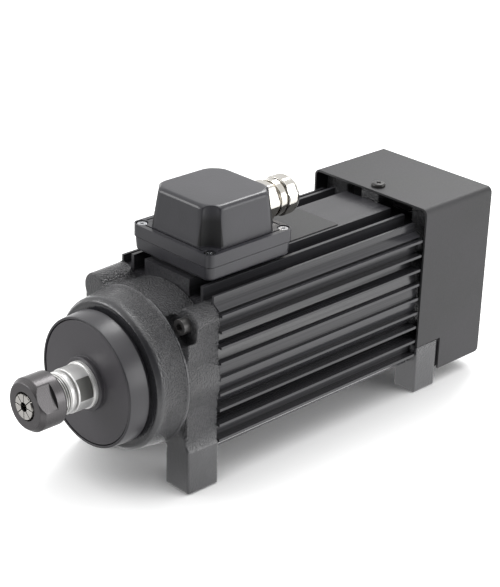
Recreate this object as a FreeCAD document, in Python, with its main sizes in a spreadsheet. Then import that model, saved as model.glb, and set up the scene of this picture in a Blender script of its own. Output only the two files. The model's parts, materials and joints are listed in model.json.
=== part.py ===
import FreeCAD, Part
import math
import os
import Sketcher
from FreeCAD import Placement, Rotation, Vector

# Spindle motor: finned body, cast end shields with feet, fan hood, terminal box,
# collet nut. Millimetres. Z up from the feet, the spindle axis runs along Y with
# its nose towards -Y, the origin is the centre of the foot screw pattern.

doc = FreeCAD.newDocument("SpindleMotor")
sheet = doc.addObject("Spreadsheet::Sheet", "Sizes")

# Driving dimensions: name, value, what it is. Radii are from the piece's own axis.
drivingSizes = [
    ("axisHeight", 71.0, "spindle axis above the feet"),
    ("slipGap", 0.05, "radial clearance of located pieces"),
    ("runGap", 0.3, "clearance between pieces that turn past each other"),
    # finned body
    ("housingFront", -90.5, "front end of the finned body"),
    ("housingLength", 182.5, "length of the finned body"),
    ("boreRadius", 45.0, "bore that holds the stator"),
    ("bodyWall", 2.6, "round wall between the fins"),
    ("finRise", 2.8, "fin tips past the round wall"),
    ("finPitch", 10.57, "fin spacing"),
    ("finThickness", 1.8, "fin thickness"),
    ("cornerSink", 5.9, "solid corner behind the fin tips"),
    ("cornerStep", 2.4, "outer point of a corner behind the fin tips"),
    ("slotWidth", 1.2, "slot between corner and outermost fin"),
    ("plateauHalf", 20.7, "half width of the flat top"),
    ("plateauRise", 6.6, "flat top above the fin tips"),
    ("railInner", 30.9, "inner side of a top rail"),
    ("railThickness", 2.4, "rail thickness"),
    ("railDrop", 0.7, "rail below the flat top"),
    ("troughDepth", 11.5, "floor between flat top and rail"),
    ("ledgeDepth", 10.0, "floor between rail and lip"),
    ("lipOuter", 42.6, "outer side of the thin top lip"),
    ("lipThickness", 1.6, "lip thickness"),
    ("lipDrop", 4.0, "lip below the flat top"),
    ("lipLength", 4.4, "lip above the sloped corner"),
    ("tieSink", 11.4, "shield screws inside the fin tips, across and up"),
    ("tieRadius", 3.0, "shield screw shank"),
    ("tieGrip", 20.0, "shield screws inside the body"),
    # cast shields
    ("shieldDepth", 26.0, "front shield from its foot face to the body"),
    ("castNose", 21.5, "front cylinder ahead of the foot face"),
    ("castNoseRadius", 48.4, "front cylinder at its front"),
    ("castNoseEdge", 2.2, "chamfer at its front"),
    ("ridgeRise", 1.2, "ridge round the front cylinder, past the fin tips"),
    ("ridgeStep", 1.3, "shield barrel below the ridge"),
    ("bossRadius", 9.8, "corner boss"),
    ("screwSeatDepth", 7.5, "screw seat behind the foot face"),
    ("screwPocket", 12.3, "hollow ahead of a screw"),
    ("pocketRun", 1.0, "hollow ahead of the foot face"),
    ("screwWell", 5.6, "well round a lower screw"),
    ("castValley", 4.0, "rounded valley between barrel and boss"),
    ("webInset", 0.6, "side wall of the shield inside its bosses"),
    ("spigotLength", 4.0, "spigot inside the body bore"),
    ("castWall", 4.0, "thin cast wall"),
    ("footInner", 30.5, "inner side of a front foot"),
    ("footOuter", 51.3, "outer side of the feet"),
    ("footDepth", 24.7, "front foot along the axis"),
    ("footRise", 28.5, "straight part of the foot's outer side"),
    ("footTop", 24.0, "inner side of a front foot, up to the barrel"),
    ("rearFootInner", 33.0, "inner side of a rear foot"),
    ("rearFootDepth", 20.8, "rear foot along the axis"),
    ("rearFootSet", 1.0, "rear feet behind the body"),
    ("footStep", 3.8, "inner step of a rear foot, under the hood"),
    ("rearFootTop", 34.3, "top of the rear foot's outer pad"),
    ("rearBarrelProud", 1.0, "rear barrel past its bosses"),
    ("rearBossRadius", 8.6, "rear corner boss"),
    ("footHoleRadius", 4.0, "tapped hole in a foot, thread left plain"),
    ("footHoleDepth", 16.0, "depth of a foot hole"),
    ("footHoleReach", 41.5, "foot holes from the middle"),
    ("footHoleSet", 12.5, "front foot holes behind the foot's face"),
    ("rearHoleSet", 11.0, "rear foot holes behind the foot's face"),
    ("lugHalf", 8.0, "half width of the lug under the hood"),
    ("lugDepth", 16.0, "length of the lug"),
    # front bearings
    ("frontShaftRadius", 15.0, "front bearing bore"),
    ("frontBearingRadius", 31.0, "front bearing outside"),
    ("frontBearingWidth", 16.0, "one front bearing"),
    ("frontSpacerWidth", 6.0, "spacers between the pair"),
    ("frontBallRadius", 4.5, "front ball"),
    ("frontBallCount", 11, "balls in one row"),
    ("bearingInset", 4.0, "first bearing behind the cast front"),
    ("ringGap", 3.6, "radial room between the rings"),
    ("grooveSink", 2.4, "ball depth in a ring"),
    # rear bearing
    ("rearShaftRadius", 8.5, "rear bearing bore"),
    ("rearBearingRadius", 20.0, "rear bearing outside"),
    ("rearBearingWidth", 12.0, "rear bearing"),
    ("rearBearingSet", 8.0, "rear bearing behind the body"),
    ("rearBallRadius", 3.4, "rear ball"),
    ("rearBallCount", 8, "rear balls"),
    ("rearRingGap", 3.0, "radial room between the rear rings"),
    ("rearGrooveSink", 1.7, "rear ball depth in a ring"),
    ("springWidth", 2.4, "wave spring"),
    # front cover and labyrinth disc
    ("coverGroove", 3.0, "dark groove between casting and cover"),
    ("coverLength", 13.7, "cover ahead of the groove"),
    ("coverRadius", 42.6, "cover at its back edge"),
    ("coverLipRadius", 41.6, "cover at its front edge"),
    ("recessDepth", 4.2, "recess that holds the disc"),
    ("discRadius", 39.5, "labyrinth disc"),
    ("discGap", 0.7, "gap between disc and rim"),
    ("discSet", 0.4, "disc front behind the rim"),
    ("discThickness", 3.2, "labyrinth disc"),
    ("discHubRadius", 17.4, "hub of the disc"),
    ("discHubLength", 3.0, "hub ahead of the disc"),
    ("coverScrewReach", 36.6, "cover screws from the axis"),
    ("coverScrewRadius", 2.5, "cover screw"),
    ("nutRingRadius", 22.5, "bearing locknut"),
    ("nutRingWidth", 7.0, "bearing locknut"),
    ("nutNotchDepth", 2.0, "notches in the locknut"),
    ("nutNotchHalf", 2.5, "half width of a notch"),
    # shaft
    ("collarLength", 13.5, "shaft collar ahead of the disc hub"),
    ("reliefRadius", 12.6, "relief groove behind the ring"),
    ("reliefWidth", 1.6, "relief groove"),
    ("shaftRingRadius", 13.6, "ring behind the nut"),
    ("shaftRingWidth", 5.0, "ring behind the nut"),
    ("threadRadius", 12.5, "nose under the nut, thread left plain"),
    ("flatReach", 12.6, "spanner flat from the axis"),
    ("flatLength", 11.0, "spanner flat"),
    ("flatSet", 1.2, "spanner flat ahead of the disc hub"),
    ("shoulderRadius", 19.0, "shoulder behind the front bearings"),
    ("shoulderLength", 8.0, "shoulder"),
    ("rotorSeatRadius", 15.5, "shaft inside the rotor"),
    ("rearNeckRadius", 11.0, "shaft ahead of the rear bearing"),
    ("fanShaftRadius", 7.0, "shaft inside the fan"),
    ("shaftTail", 4.0, "shaft past the fan"),
    # collet and clamping nut
    ("nutGap", 4.3, "clamping nut ahead of the ring"),
    ("nutLength", 19.0, "clamping nut"),
    ("nutRadius", 17.0, "clamping nut"),
    ("nutNoseRadius", 15.4, "clamping nut at its front face"),
    ("nutNoseLength", 2.2, "chamfer at the nut's front"),
    ("nutFlat", 15.0, "wrench flat from the axis"),
    ("nutFlatLength", 11.5, "wrench flats along the axis"),
    ("nutCavity", 1.6, "room round the collet in the nut"),
    ("colletProud", 0.8, "collet ahead of the nut"),
    ("colletLength", 31.5, "collet"),
    ("colletFaceRadius", 8.3, "collet front face"),
    ("colletRadius", 10.5, "widest part of the collet"),
    ("colletTail", 6.9, "back end of the collet"),
    ("colletConeLength", 3.4, "front cone"),
    ("colletGroove", 9.2, "extractor groove"),
    ("colletGrooveWidth", 2.2, "extractor groove"),
    ("colletBore", 3.0, "clamping bore"),
    ("slitWidth", 0.6, "collet slit"),
    ("slitLength", 25.0, "collet slit"),
    ("slitCount", 8, "collet slits"),
    ("shaftSet", 1.0, "shaft front behind the extractor groove"),
    ("socketDepth", 36.0, "socket behind the shaft's front face"),
    ("extractorWidth", 1.4, "extractor ring"),
    # stator and rotor
    ("stackSet", 35.5, "stacks behind the body's front"),
    ("stackRoom", 37.0, "stacks ahead of the body's back"),
    ("statorBore", 24.6, "stator bore"),
    ("slotInner", 27.0, "bottom of the winding slots"),
    ("slotOuter", 37.5, "top of the winding slots"),
    ("slotBreadth", 4.0, "winding slot"),
    ("slotCount", 18, "winding slots"),
    ("coilGap", 0.2, "winding clearance in its slot"),
    ("endTurnLength", 22.0, "end turns past the stack"),
    ("endTurnOuter", 41.0, "end turns"),
    ("endTurnStep", 0.5, "end turns off the stack"),
    ("airGap", 0.4, "gap between rotor and stator"),
    ("endRingWidth", 8.0, "rotor end ring"),
    ("endRingInner", 17.5, "rotor end ring"),
    # fan, hood and grille
    ("hoodSet", 1.0, "hood behind the body"),
    ("hoodLength", 67.9, "hood along the axis"),
    ("hoodRoom", 1.55, "rear barrel to the hood's sheet"),
    ("hoodRise", 64.4, "top of the hood above the axis"),
    ("hoodBottom", 10.7, "lower edge of the hood above the feet"),
    ("hoodSheet", 1.5, "hood sheet"),
    ("hoodBend", 4.2, "outer bend of the hood"),
    ("notchRoom", 3.4, "notch behind the rear foot"),
    ("notchGap", 0.3, "notch above the rear foot"),
    ("hoodCorner", 3.0, "lower back corners of the hood"),
    ("hoodScrewSet", 8.6, "hood screw behind the hood's front edge"),
    ("hoodScrewRadius", 2.5, "hood screw"),
    ("hoodScrewHead", 4.8, "hood screw head"),
    ("hoodScrewRise", 2.6, "hood screw head above the hood"),
    ("hoodScrewGrip", 10.0, "hood screw in the lug"),
    ("fanSet", 31.0, "fan behind the body"),
    ("fanLength", 20.0, "fan"),
    ("fanRadius", 43.0, "fan"),
    ("fanHubRadius", 12.5, "fan hub"),
    ("bladeCount", 9, "fan blades"),
    ("bladeThickness", 2.0, "fan blade"),
    ("fanWebWidth", 2.4, "fan disc"),
    ("grilleFlange", 9.0, "folded edge of the grille"),
    ("grilleRing", 7.4, "spacing of the grille slots"),
    ("grilleSlot", 3.8, "grille slot width"),
    ("grilleRings", 3, "rings of slots"),
    ("grilleBar", 4.5, "bars between the slots"),
    # terminal box
    ("boxHalf", 35.6, "half width of the box"),
    ("boxSet", 2.2, "box behind the body's front"),
    ("boxLength", 71.2, "box along the axis"),
    ("padThickness", 1.8, "gasket under the box"),
    ("baseHeight", 8.8, "box base"),
    ("baseDraft", 0.6, "base narrower at its foot"),
    ("baseEdge", 1.6, "rounded lower edge of the base"),
    ("sealThickness", 0.6, "gasket under the lid"),
    ("lidOverhang", 0.5, "lid rim past the base"),
    ("rimHeight", 8.0, "lid rim"),
    ("rimGroove", 1.2, "groove round the dome"),
    ("boxCorner", 5.2, "box corners"),
    ("boxWall", 2.5, "box wall"),
    ("domeInset", 4.6, "dome behind the rim"),
    ("domeHeight", 26.0, "dome above the rim"),
    ("domeDraft", 7.0, "dome draft in degrees"),
    ("domeEdge", 2.4, "rounded top edge of the dome"),
    ("fluteRadius", 10.7, "hollow at a dome corner"),
    ("fluteEdge", 3.0, "rounded edges of a hollow"),
    ("lidScrewInset", 5.0, "lid screws from the rim's sides"),
    ("lidScrewRadius", 1.5, "lid screw"),
    ("lidScrewDepth", 5.0, "lid screw in the base"),
    ("lidScrewHead", 3.1, "lid screw head"),
    ("lidScrewSink", 2.6, "lid screw recess"),
    ("lidScrewDrop", 0.5, "lid screw heads below the rim"),
    ("lidScrewRecess", 3.95, "lid screw recess"),
    ("blockLength", 20.0, "terminal block along the axis"),
    ("blockHalf", 21.0, "half width of the terminal block"),
    ("blockHeight", 9.0, "terminal block"),
    ("blockShift", 4.0, "terminal block behind the middle of the box"),
    ("studRadius", 2.0, "terminal stud"),
    ("studHeight", 7.0, "stud above the block"),
    ("boxScrewRadius", 2.0, "screws that hold the box"),
    ("boxScrewInset", 10.4, "box screws inside the ends of the box"),
    ("boxScrewGrip", 8.0, "box screws inside the body"),
    ("boxScrewHead", 2.2, "box screw heads"),
    ("cableHole", 5.5, "cable way into the motor"),
    ("cableInset", 23.3, "cable way behind the front of the box"),
    # cable gland
    ("glandRise", 5.6, "gland axis above the lid rim"),
    ("glandThread", 10.0, "gland thread"),
    ("glandHex", 12.0, "gland flats from its axis"),
    ("glandCorner", 13.4, "gland over its rounded corners"),
    ("glandBodyLength", 14.0, "gland body hexagon"),
    ("glandBoltLength", 12.0, "gland thread inside the lid"),
    ("glandNeckLength", 8.5, "neck between body and dome nut"),
    ("glandNeck", 11.4, "neck"),
    ("glandCollarSet", 1.5, "collar behind the body hexagon"),
    ("glandCollarWidth", 5.0, "collar on the neck"),
    ("glandCollarRise", 0.9, "collar past the neck"),
    ("glandCapLength", 11.4, "dome nut"),
    ("glandBore", 6.0, "cable way in the gland"),
    ("sealWidth", 1.4, "rubber seal under the gland"),
    ("sealRadius", 12.4, "rubber seal under the gland"),
    ("locknutWidth", 4.0, "gland locknut"),
    ("glandBossRadius", 13.4, "boss on the dome"),
    # plate
    ("plateHalf", 18.4, "half width of the plate"),
    ("plateGap", 1.1, "plate behind the lid"),
    ("plateLength", 58.0, "plate"),
    ("plateThickness", 0.6, "plate"),
]


class Size:
    """A length and the sheet expression that gives it."""

    def __init__(self, value, text):
        self.value = value
        self.text = text

    def __float__(self):
        return float(self.value)

    def join(self, sign, other, value, swap=False):
        left, right = self.text, asSize(other).text
        if swap:
            left, right = right, left
        return Size(value, "(%s %s %s)" % (left, sign, right))

    def __add__(self, other):
        return self.join("+", other, self.value + float(other))

    __radd__ = __add__

    def __sub__(self, other):
        return self.join("-", other, self.value - float(other))

    def __rsub__(self, other):
        return self.join("-", other, float(other) - self.value, swap=True)

    def __mul__(self, other):
        return self.join("*", other, self.value * float(other))

    __rmul__ = __mul__

    def __truediv__(self, other):
        return self.join("/", other, self.value / float(other))

    def __neg__(self):
        return Size(-self.value, "(-1 * %s)" % self.text)


def asSize(number):
    if isinstance(number, Size):
        return number
    return Size(float(number), repr(float(number)))


def fillSheet():
    found = {}
    for row, (alias, value, note) in enumerate(drivingSizes, start=1):
        sheet.set("A%d" % row, note)
        sheet.set("B%d" % row, str(value))
        sheet.setAlias("B%d" % row, alias)
        found[alias] = Size(value, "Sizes." + alias)
    doc.recompute()
    return found


class Book:
    """The sheet's sizes as attributes."""

    def __init__(self, found):
        self.__dict__.update(found)


s = Book(fillSheet())
pieces = []


# Sketch and feature helpers

def bind(thing, path, size):
    size = asSize(size)
    if "Sizes." in size.text:
        thing.setExpression(path, size.text)
    elif path == "Occurrences":
        thing.Occurrences = int(size.value)
    else:
        setattr(thing, path, size.value)


def newPiece(name, x=0.0, y=0.0, z=0.0, axis=(0, 0, 1), angle=0.0):
    """A body whose own origin stands at x, y, z."""
    body = doc.addObject("PartDesign::Body", name)
    body.Label = name
    spot = [asSize(x), asSize(y), asSize(z)]
    body.Placement = Placement(Vector(*[p.value for p in spot]), Rotation(Vector(*axis), angle))
    for letter, place in zip("xyz", spot):
        if "Sizes." in place.text:
            body.setExpression("Placement.Base." + letter, place.text)
    pieces.append(body)
    return body


def onAxis(name):
    """A body whose origin lies on the spindle axis."""
    return newPiece(name, z=s.axisHeight)


def originOf(body, role):
    return [o for o in body.Origin.OriginFeatures if o.Role == role][0]


def newSketch(body, plane, at=0.0):
    """A sketch across the plane's axis. XZ looks along -Y, so its offset is turned."""
    at = -asSize(at) if plane == "XZ_Plane" else asSize(at)
    sketch = body.newObject("Sketcher::SketchObject", body.Name + "Sketch")
    sketch.AttachmentSupport = (originOf(body, plane), [""])
    sketch.MapMode = "FlatFace"
    sketch.AttachmentOffset = Placement(Vector(0, 0, at.value), Rotation())
    if "Sizes." in at.text:
        sketch.setExpression("AttachmentOffset.Base.z", at.text)
    return sketch


def pin(sketch, geometry, end, u, v):
    """Holds one point of the sketch at u, v."""
    for kind, axis, size in (("DistanceX", -2, asSize(u)), ("DistanceY", -1, asSize(v))):
        if "Sizes." not in size.text and size.value == 0.0:
            sketch.addConstraint(Sketcher.Constraint("PointOnObject", geometry, end, axis))
            continue
        index = sketch.addConstraint(Sketcher.Constraint(kind, geometry, end, size.value))
        if "Sizes." in size.text:
            sketch.setExpression("Constraints[%d]" % index, size.text)


def outline(sketch, corners):
    """Straight lines through the corners, closed."""
    first = sketch.GeometryCount
    points = [Vector(float(u), float(v), 0) for u, v in corners]
    count = len(points)
    lines = [Part.LineSegment(points[i], points[(i + 1) % count]) for i in range(count)]
    sketch.addGeometry(lines, False)
    joints = []
    for i in range(count):
        following = first + (i + 1) % count
        joints.append(Sketcher.Constraint("Coincident", first + i, 2, following, 1))
    sketch.addConstraint(joints)
    for i, (u, v) in enumerate(corners):
        pin(sketch, first + i, 1, u, v)


def box(sketch, left, right, low, high):
    outline(sketch, [(left, low), (right, low), (right, high), (left, high)])


def circle(sketch, u, v, radius):
    radius = asSize(radius)
    round_ = Part.Circle(Vector(float(u), float(v), 0), Vector(0, 0, 1), radius.value)
    index = sketch.addGeometry(round_, False)
    pin(sketch, index, 3, u, v)
    size = sketch.addConstraint(Sketcher.Constraint("Radius", index, radius.value))
    if "Sizes." in radius.text:
        sketch.setExpression("Constraints[%d]" % size, radius.text)


def polygon(sketch, u, v, flat, sides=6):
    """A regular polygon with a flat on each side, its size given across half the flats."""
    reach = asSize(flat) / math.cos(math.pi / sides)
    corners = []
    for i in range(sides):
        turn = 2 * math.pi * i / sides
        corners.append((u + reach * math.cos(turn), v + reach * math.sin(turn)))
    outline(sketch, corners)


def prism(body, plane, start, end, draw, cut=False, taper=None):
    """Adds or cuts what draw(sketch) gives, from start to end along the plane's axis."""
    sketch = newSketch(body, plane, start)
    draw(sketch)
    kind = "PartDesign::Pocket" if cut else "PartDesign::Pad"
    feature = body.newObject(kind, body.Name + ("Pocket" if cut else "Pad"))
    feature.Profile = sketch
    length = asSize(end) - start
    feature.Length = length.value
    if "Sizes." in length.text:
        feature.setExpression("Length", length.text)
    feature.Reversed = (plane == "XZ_Plane") != cut
    if taper is not None:
        bind(feature, "TaperAngle", taper)
    body.Tip = feature
    return feature


def turned(body, corners, cut=False, about="V_Axis", plane="XY_Plane"):
    """A solid or groove of revolution about the spindle axis from radius, y corners."""
    sketch = newSketch(body, plane)
    outline(sketch, corners)
    kind = "PartDesign::Groove" if cut else "PartDesign::Revolution"
    feature = body.newObject(kind, body.Name + ("Groove" if cut else "Turning"))
    feature.Profile = sketch
    feature.ReferenceAxis = (sketch, [about])
    feature.Angle = 360
    body.Tip = feature
    return feature


def tube(body, inner, outer, front, back):
    return turned(body, [(inner, front), (outer, front), (outer, back), (inner, back)])


def around(body, feature, count, role="Y_Axis"):
    """Repeats a feature round the spindle axis."""
    ring = body.newObject("PartDesign::PolarPattern", body.Name + "Ring")
    ring.Originals = [feature]
    ring.Axis = (originOf(body, role), [""])
    ring.Angle = 360
    bind(ring, "Occurrences", count)
    body.Tip = ring
    return ring


def inRow(body, feature, role, length, count):
    row = body.newObject("PartDesign::LinearPattern", body.Name + "Row")
    row.Originals = [feature]
    row.Direction = (originOf(body, role), [""])
    bind(row, "Length", length)
    row.Occurrences = count
    body.Tip = row
    return row


def dress(body, kind, size, chosen):
    """A fillet or chamfer on the edges that the test chooses."""
    doc.recompute()
    base = body.Tip
    names = []
    for number, edge in enumerate(base.Shape.Edges, start=1):
        if chosen(edge):
            names.append("Edge%d" % number)
    if not names:
        raise RuntimeError("no edge chosen on " + body.Label)
    feature = body.newObject("PartDesign::" + kind, body.Name + kind)
    feature.Base = (base, names)
    bind(feature, "Radius" if kind == "Fillet" else "Size", size)
    body.Tip = feature
    return feature


def edgeEnds(edge):
    return [vertex.Point for vertex in edge.Vertexes]


def runsAlong(edge, direction):
    """True for a straight edge along the direction."""
    ends = edgeEnds(edge)
    if len(ends) != 2 or edge.Curve.TypeId != "Part::GeomLine":
        return False
    run = (ends[1] - ends[0]).normalize()
    return abs(run.dot(Vector(*direction))) > 0.999


def near(value, size, reach=0.02):
    return abs(value - float(size)) < reach


def quarters(reach, rise=None):
    """The four corners of a square pattern."""
    rise = reach if rise is None else rise
    return [(reach, rise), (-reach, rise), (-reach, -rise), (reach, -rise)]


# Places that several pieces share, along Y unless noted

wallRadius = s.boreRadius + s.bodyWall
finReach = wallRadius + s.finRise
cornerReach = finReach - s.cornerSink
cornerNose = finReach - s.cornerStep
tieReach = finReach - s.tieSink
plateauHeight = finReach + s.plateauRise
railHeight = plateauHeight - s.railDrop
lipHeight = plateauHeight - s.lipDrop
housingBack = s.housingFront + s.housingLength
footFace = s.housingFront - s.shieldDepth
castFront = footFace - s.castNose
coverBack = castFront - s.coverGroove
rimFront = coverBack - s.coverLength
recessFloor = rimFront + s.recessDepth
discFront = rimFront + s.discSet
discBack = discFront + s.discThickness
hubFront = discFront - s.discHubLength
screwSeat = footFace + s.screwSeatDepth
ridgeRadius = finReach + s.ridgeRise
shieldRadius = ridgeRadius - s.ridgeStep
firstBearing = castFront + s.bearingInset
secondBearing = firstBearing + s.frontBearingWidth + s.frontSpacerWidth
bearingsBack = secondBearing + s.frontBearingWidth
locknutFront = firstBearing - s.nutRingWidth
rearBearingFront = housingBack + s.rearBearingSet
rearBearingBack = rearBearingFront + s.rearBearingWidth
rearFootFront = housingBack + s.rearFootSet
rearShieldBack = rearFootFront + s.rearFootDepth
rearShieldRadius = tieReach + s.rearBossRadius + s.rearBarrelProud
fanFront = housingBack + s.fanSet
fanShaftEnd = fanFront + s.fanLength + s.shaftTail
collarFront = hubFront - s.collarLength
ringBack = collarFront - s.reliefWidth
ringFront = ringBack - s.shaftRingWidth
nutBack = ringFront - s.nutGap
nutFront = nutBack - s.nutLength
colletFront = nutFront - s.colletProud
shaftFront = colletFront + s.colletConeLength + s.colletGrooveWidth + s.shaftSet
colletBack = colletFront + s.colletLength
stackFront = s.housingFront + s.stackSet
stackBack = housingBack - s.stackRoom
hoodFront = housingBack + s.hoodSet
hoodBack = hoodFront + s.hoodLength
hoodHalf = rearShieldRadius + s.hoodRoom + s.hoodSheet
hoodTop = s.axisHeight + s.hoodRise
hoodUnderside = hoodTop - s.hoodSheet
plateauTop = s.axisHeight + plateauHeight
baseBottom = plateauTop + s.padThickness
baseTop = baseBottom + s.baseHeight
rimBottom = baseTop + s.sealThickness
rimTop = rimBottom + s.rimHeight
domeTop = rimTop + s.domeHeight
boxFront = s.housingFront + s.boxSet
boxBack = boxFront + s.boxLength
boxMiddle = boxFront + s.boxLength / 2
boxScrewReach = s.boxLength / 2 - s.boxScrewInset
cableReach = s.boxLength / 2 - s.cableInset
lidHalf = s.boxHalf + s.lidOverhang
lidHalfLength = s.boxLength / 2 + s.lidOverhang
lidScrewX = lidHalf - s.lidScrewInset
lidScrewY = lidHalfLength - s.lidScrewInset
domeX = lidHalf - s.domeInset
domeY = lidHalfLength - s.domeInset
glandHeight = rimTop + s.glandRise
glandFace = boxMiddle + domeY


# Finned body

def statorHousing():
    body = onAxis("stator_housing")
    front, back = s.housingFront, housingBack
    half = s.finThickness / 2
    lastFin = s.finPitch * 4
    prism(body, "XZ_Plane", front, back, lambda k: circle(k, 0, 0, wallRadius))
    side = prism(body, "XZ_Plane", front, back, lambda k: box(
        k, -finReach, finReach, -lastFin - half, -lastFin + half))
    inRow(body, side, "Z_Axis", s.finPitch * 8, 9)
    inside = s.finPitch * 3 - half
    under = prism(body, "XZ_Plane", front, back, lambda k: box(
        k, -lastFin - half, -lastFin + half, -finReach, -inside))
    inRow(body, under, "X_Axis", s.finPitch * 8, 9)
    finFace = lastFin + half
    slotTop = finFace + s.slotWidth
    slotFloor = cornerReach + 1.0
    for side in (1, -1):
        lower = [(inside, -inside), (cornerReach, -inside), (cornerReach, -finFace),
                 (slotFloor, -finFace), (slotFloor, -slotTop), (cornerNose, -slotTop - 0.5),
                 (slotTop + 0.5, -cornerNose), (slotTop, -slotFloor), (finFace, -slotFloor),
                 (finFace, -cornerReach), (inside, -cornerReach)]
        prism(body, "XZ_Plane", front, back, lambda k: outline(
            k, [(u * side, v) for u, v in lower]))
    railOuter = s.railInner + s.railThickness
    lipInner = s.lipOuter - s.lipThickness
    upper = [(cornerReach, inside), (cornerReach, finFace), (slotFloor, finFace),
             (slotFloor, slotTop), (cornerNose, slotTop + 0.5), (s.lipOuter, lipHeight - s.lipLength),
             (s.lipOuter, lipHeight), (lipInner, lipHeight), (lipInner, plateauHeight - s.ledgeDepth),
             (railOuter, plateauHeight - s.ledgeDepth), (railOuter, railHeight), (s.railInner, railHeight),
             (s.railInner, plateauHeight - s.troughDepth), (s.plateauHalf, plateauHeight - s.troughDepth),
             (s.plateauHalf, plateauHeight)]
    crown = upper + [(-u, v) for u, v in reversed(upper)]
    prism(body, "XZ_Plane", front, back, lambda k: outline(k, crown))
    prism(body, "XZ_Plane", front, back, lambda k: circle(k, 0, 0, s.boreRadius), cut=True)

    def ports(sketch):
        for u, v in quarters(tieReach):
            circle(sketch, u, v, s.tieRadius)
    prism(body, "XZ_Plane", front, back, ports, cut=True)
    prism(body, "XY_Plane", s.boreRadius - 12.0, plateauHeight + 1.0,
          lambda k: boxFloorHoles(k, 0.0), cut=True)
    return body


def boxFloorHoles(sketch, shift):
    """Cable way and the two screws that hold the terminal box."""
    circle(sketch, 0, boxMiddle - cableReach, s.cableHole)
    for side in (-1, 1):
        circle(sketch, 0, boxMiddle + boxScrewReach * side, s.boxScrewRadius + shift)


# Cast shields

def shieldBosses(body, front, back, radius, places):
    for u, v in places:
        prism(body, "XZ_Plane", front, back, lambda k: circle(k, u, v, radius))


def foot(body, front, back, inner, top, side):
    """One foot, drawn across the axis, with its shoulder running into the barrel."""
    ground = -s.axisHeight
    rise = s.footRise - s.axisHeight
    corners = [(inner, ground), (s.footOuter, ground), (s.footOuter, rise),
               (tieReach + s.bossRadius - 1.5, -tieReach + 3.0),
               (tieReach - 4.0, -tieReach + 8.0), (inner, top)]
    prism(body, "XZ_Plane", front, back, lambda k: outline(
        k, [(u * side, v) for u, v in corners]))


def footHoles(body, y):
    def draw(sketch):
        for side in (1, -1):
            circle(sketch, s.footHoleReach * side, y, s.footHoleRadius)
    prism(body, "XY_Plane", -s.axisHeight, -s.axisHeight + s.footHoleDepth, draw, cut=True)


def frontShield():
    body = onAxis("front_shield")
    seat = s.frontBearingRadius + s.slipGap
    lip = s.frontBearingRadius - s.ringGap + 0.8
    spigot = s.boreRadius - s.slipGap
    inner = spigot - s.castWall
    floor = bearingsBack + s.castWall
    reach = tieReach
    shieldBosses(body, footFace, s.housingFront, shieldRadius, [(0, 0)])
    shieldBosses(body, footFace, s.housingFront, s.bossRadius, [(-reach, reach), (reach, -reach)])
    shieldBosses(body, screwSeat, s.housingFront, s.bossRadius, [(reach, reach), (-reach, -reach)])
    softenCast(body, shieldRadius, s.bossRadius)
    wallReach = reach + s.bossRadius - s.webInset
    for side in (1, -1):
        prism(body, "XZ_Plane", footFace + 1.0, s.housingFront, lambda k: box(
            k, (s.boreRadius - s.castWall) * side, wallReach * side, -reach, reach))
    spigotBack = s.housingFront + s.spigotLength
    turned(body, [
        (0, castFront), (s.castNoseRadius - s.castNoseEdge, castFront),
        (s.castNoseRadius + 0.3, castFront + s.castNoseEdge), (ridgeRadius, footFace - 0.8),
        (ridgeRadius, footFace), (shieldRadius - 0.3, footFace + 0.7),
        (shieldRadius - 0.3, s.housingFront), (spigot, s.housingFront),
        (spigot, spigotBack), (0, spigotBack)])
    footBack = footFace + s.footDepth
    for side in (1, -1):
        foot(body, footFace, footBack, s.footInner, s.footTop - s.axisHeight, side)
    turned(body, [(0, castFront), (seat, castFront), (seat, bearingsBack), (lip, bearingsBack),
                  (lip, floor), (inner, floor), (inner, spigotBack), (0, spigotBack)], cut=True)

    def upperPocket(sketch):
        circle(sketch, reach, reach, s.screwPocket)
    prism(body, "XZ_Plane", footFace - s.pocketRun, screwSeat, upperPocket, cut=True)

    def lowerPocket(sketch):
        circle(sketch, -reach, -reach, s.screwWell)
    prism(body, "XZ_Plane", footFace, screwSeat, lowerPocket, cut=True)

    def ports(sketch):
        circle(sketch, reach, reach, s.tieRadius + s.slipGap)
        circle(sketch, -reach, -reach, s.tieRadius + s.slipGap)
    prism(body, "XZ_Plane", screwSeat, s.housingFront, ports, cut=True)
    coverHoles(body, castFront, castFront + 10.0, s.coverScrewRadius, cut=True)
    footHoles(body, footFace + s.footHoleSet)
    return body


def softenCast(body, barrel, boss):
    """Rounds the valleys between barrel and bosses."""
    def valley(edge):
        if not runsAlong(edge, (0, 1, 0)) or edge.Length < 8.0:
            return False
        spot = edgeEnds(edge)[0]
        onBarrel = near(math.hypot(spot.x, spot.z), barrel)
        reach = float(tieReach)
        onBoss = near(math.hypot(abs(spot.x) - reach, abs(spot.z) - reach), boss)
        return onBarrel and onBoss
    dress(body, "Fillet", s.castValley, valley)


def coverHoles(body, front, back, radius, cut=False):
    def draw(sketch):
        for i in range(4):
            turn = math.pi / 4 + i * math.pi / 2
            circle(sketch, s.coverScrewReach * math.cos(turn),
                   s.coverScrewReach * math.sin(turn), radius)
    return prism(body, "XZ_Plane", front, back, draw, cut=cut)


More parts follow.
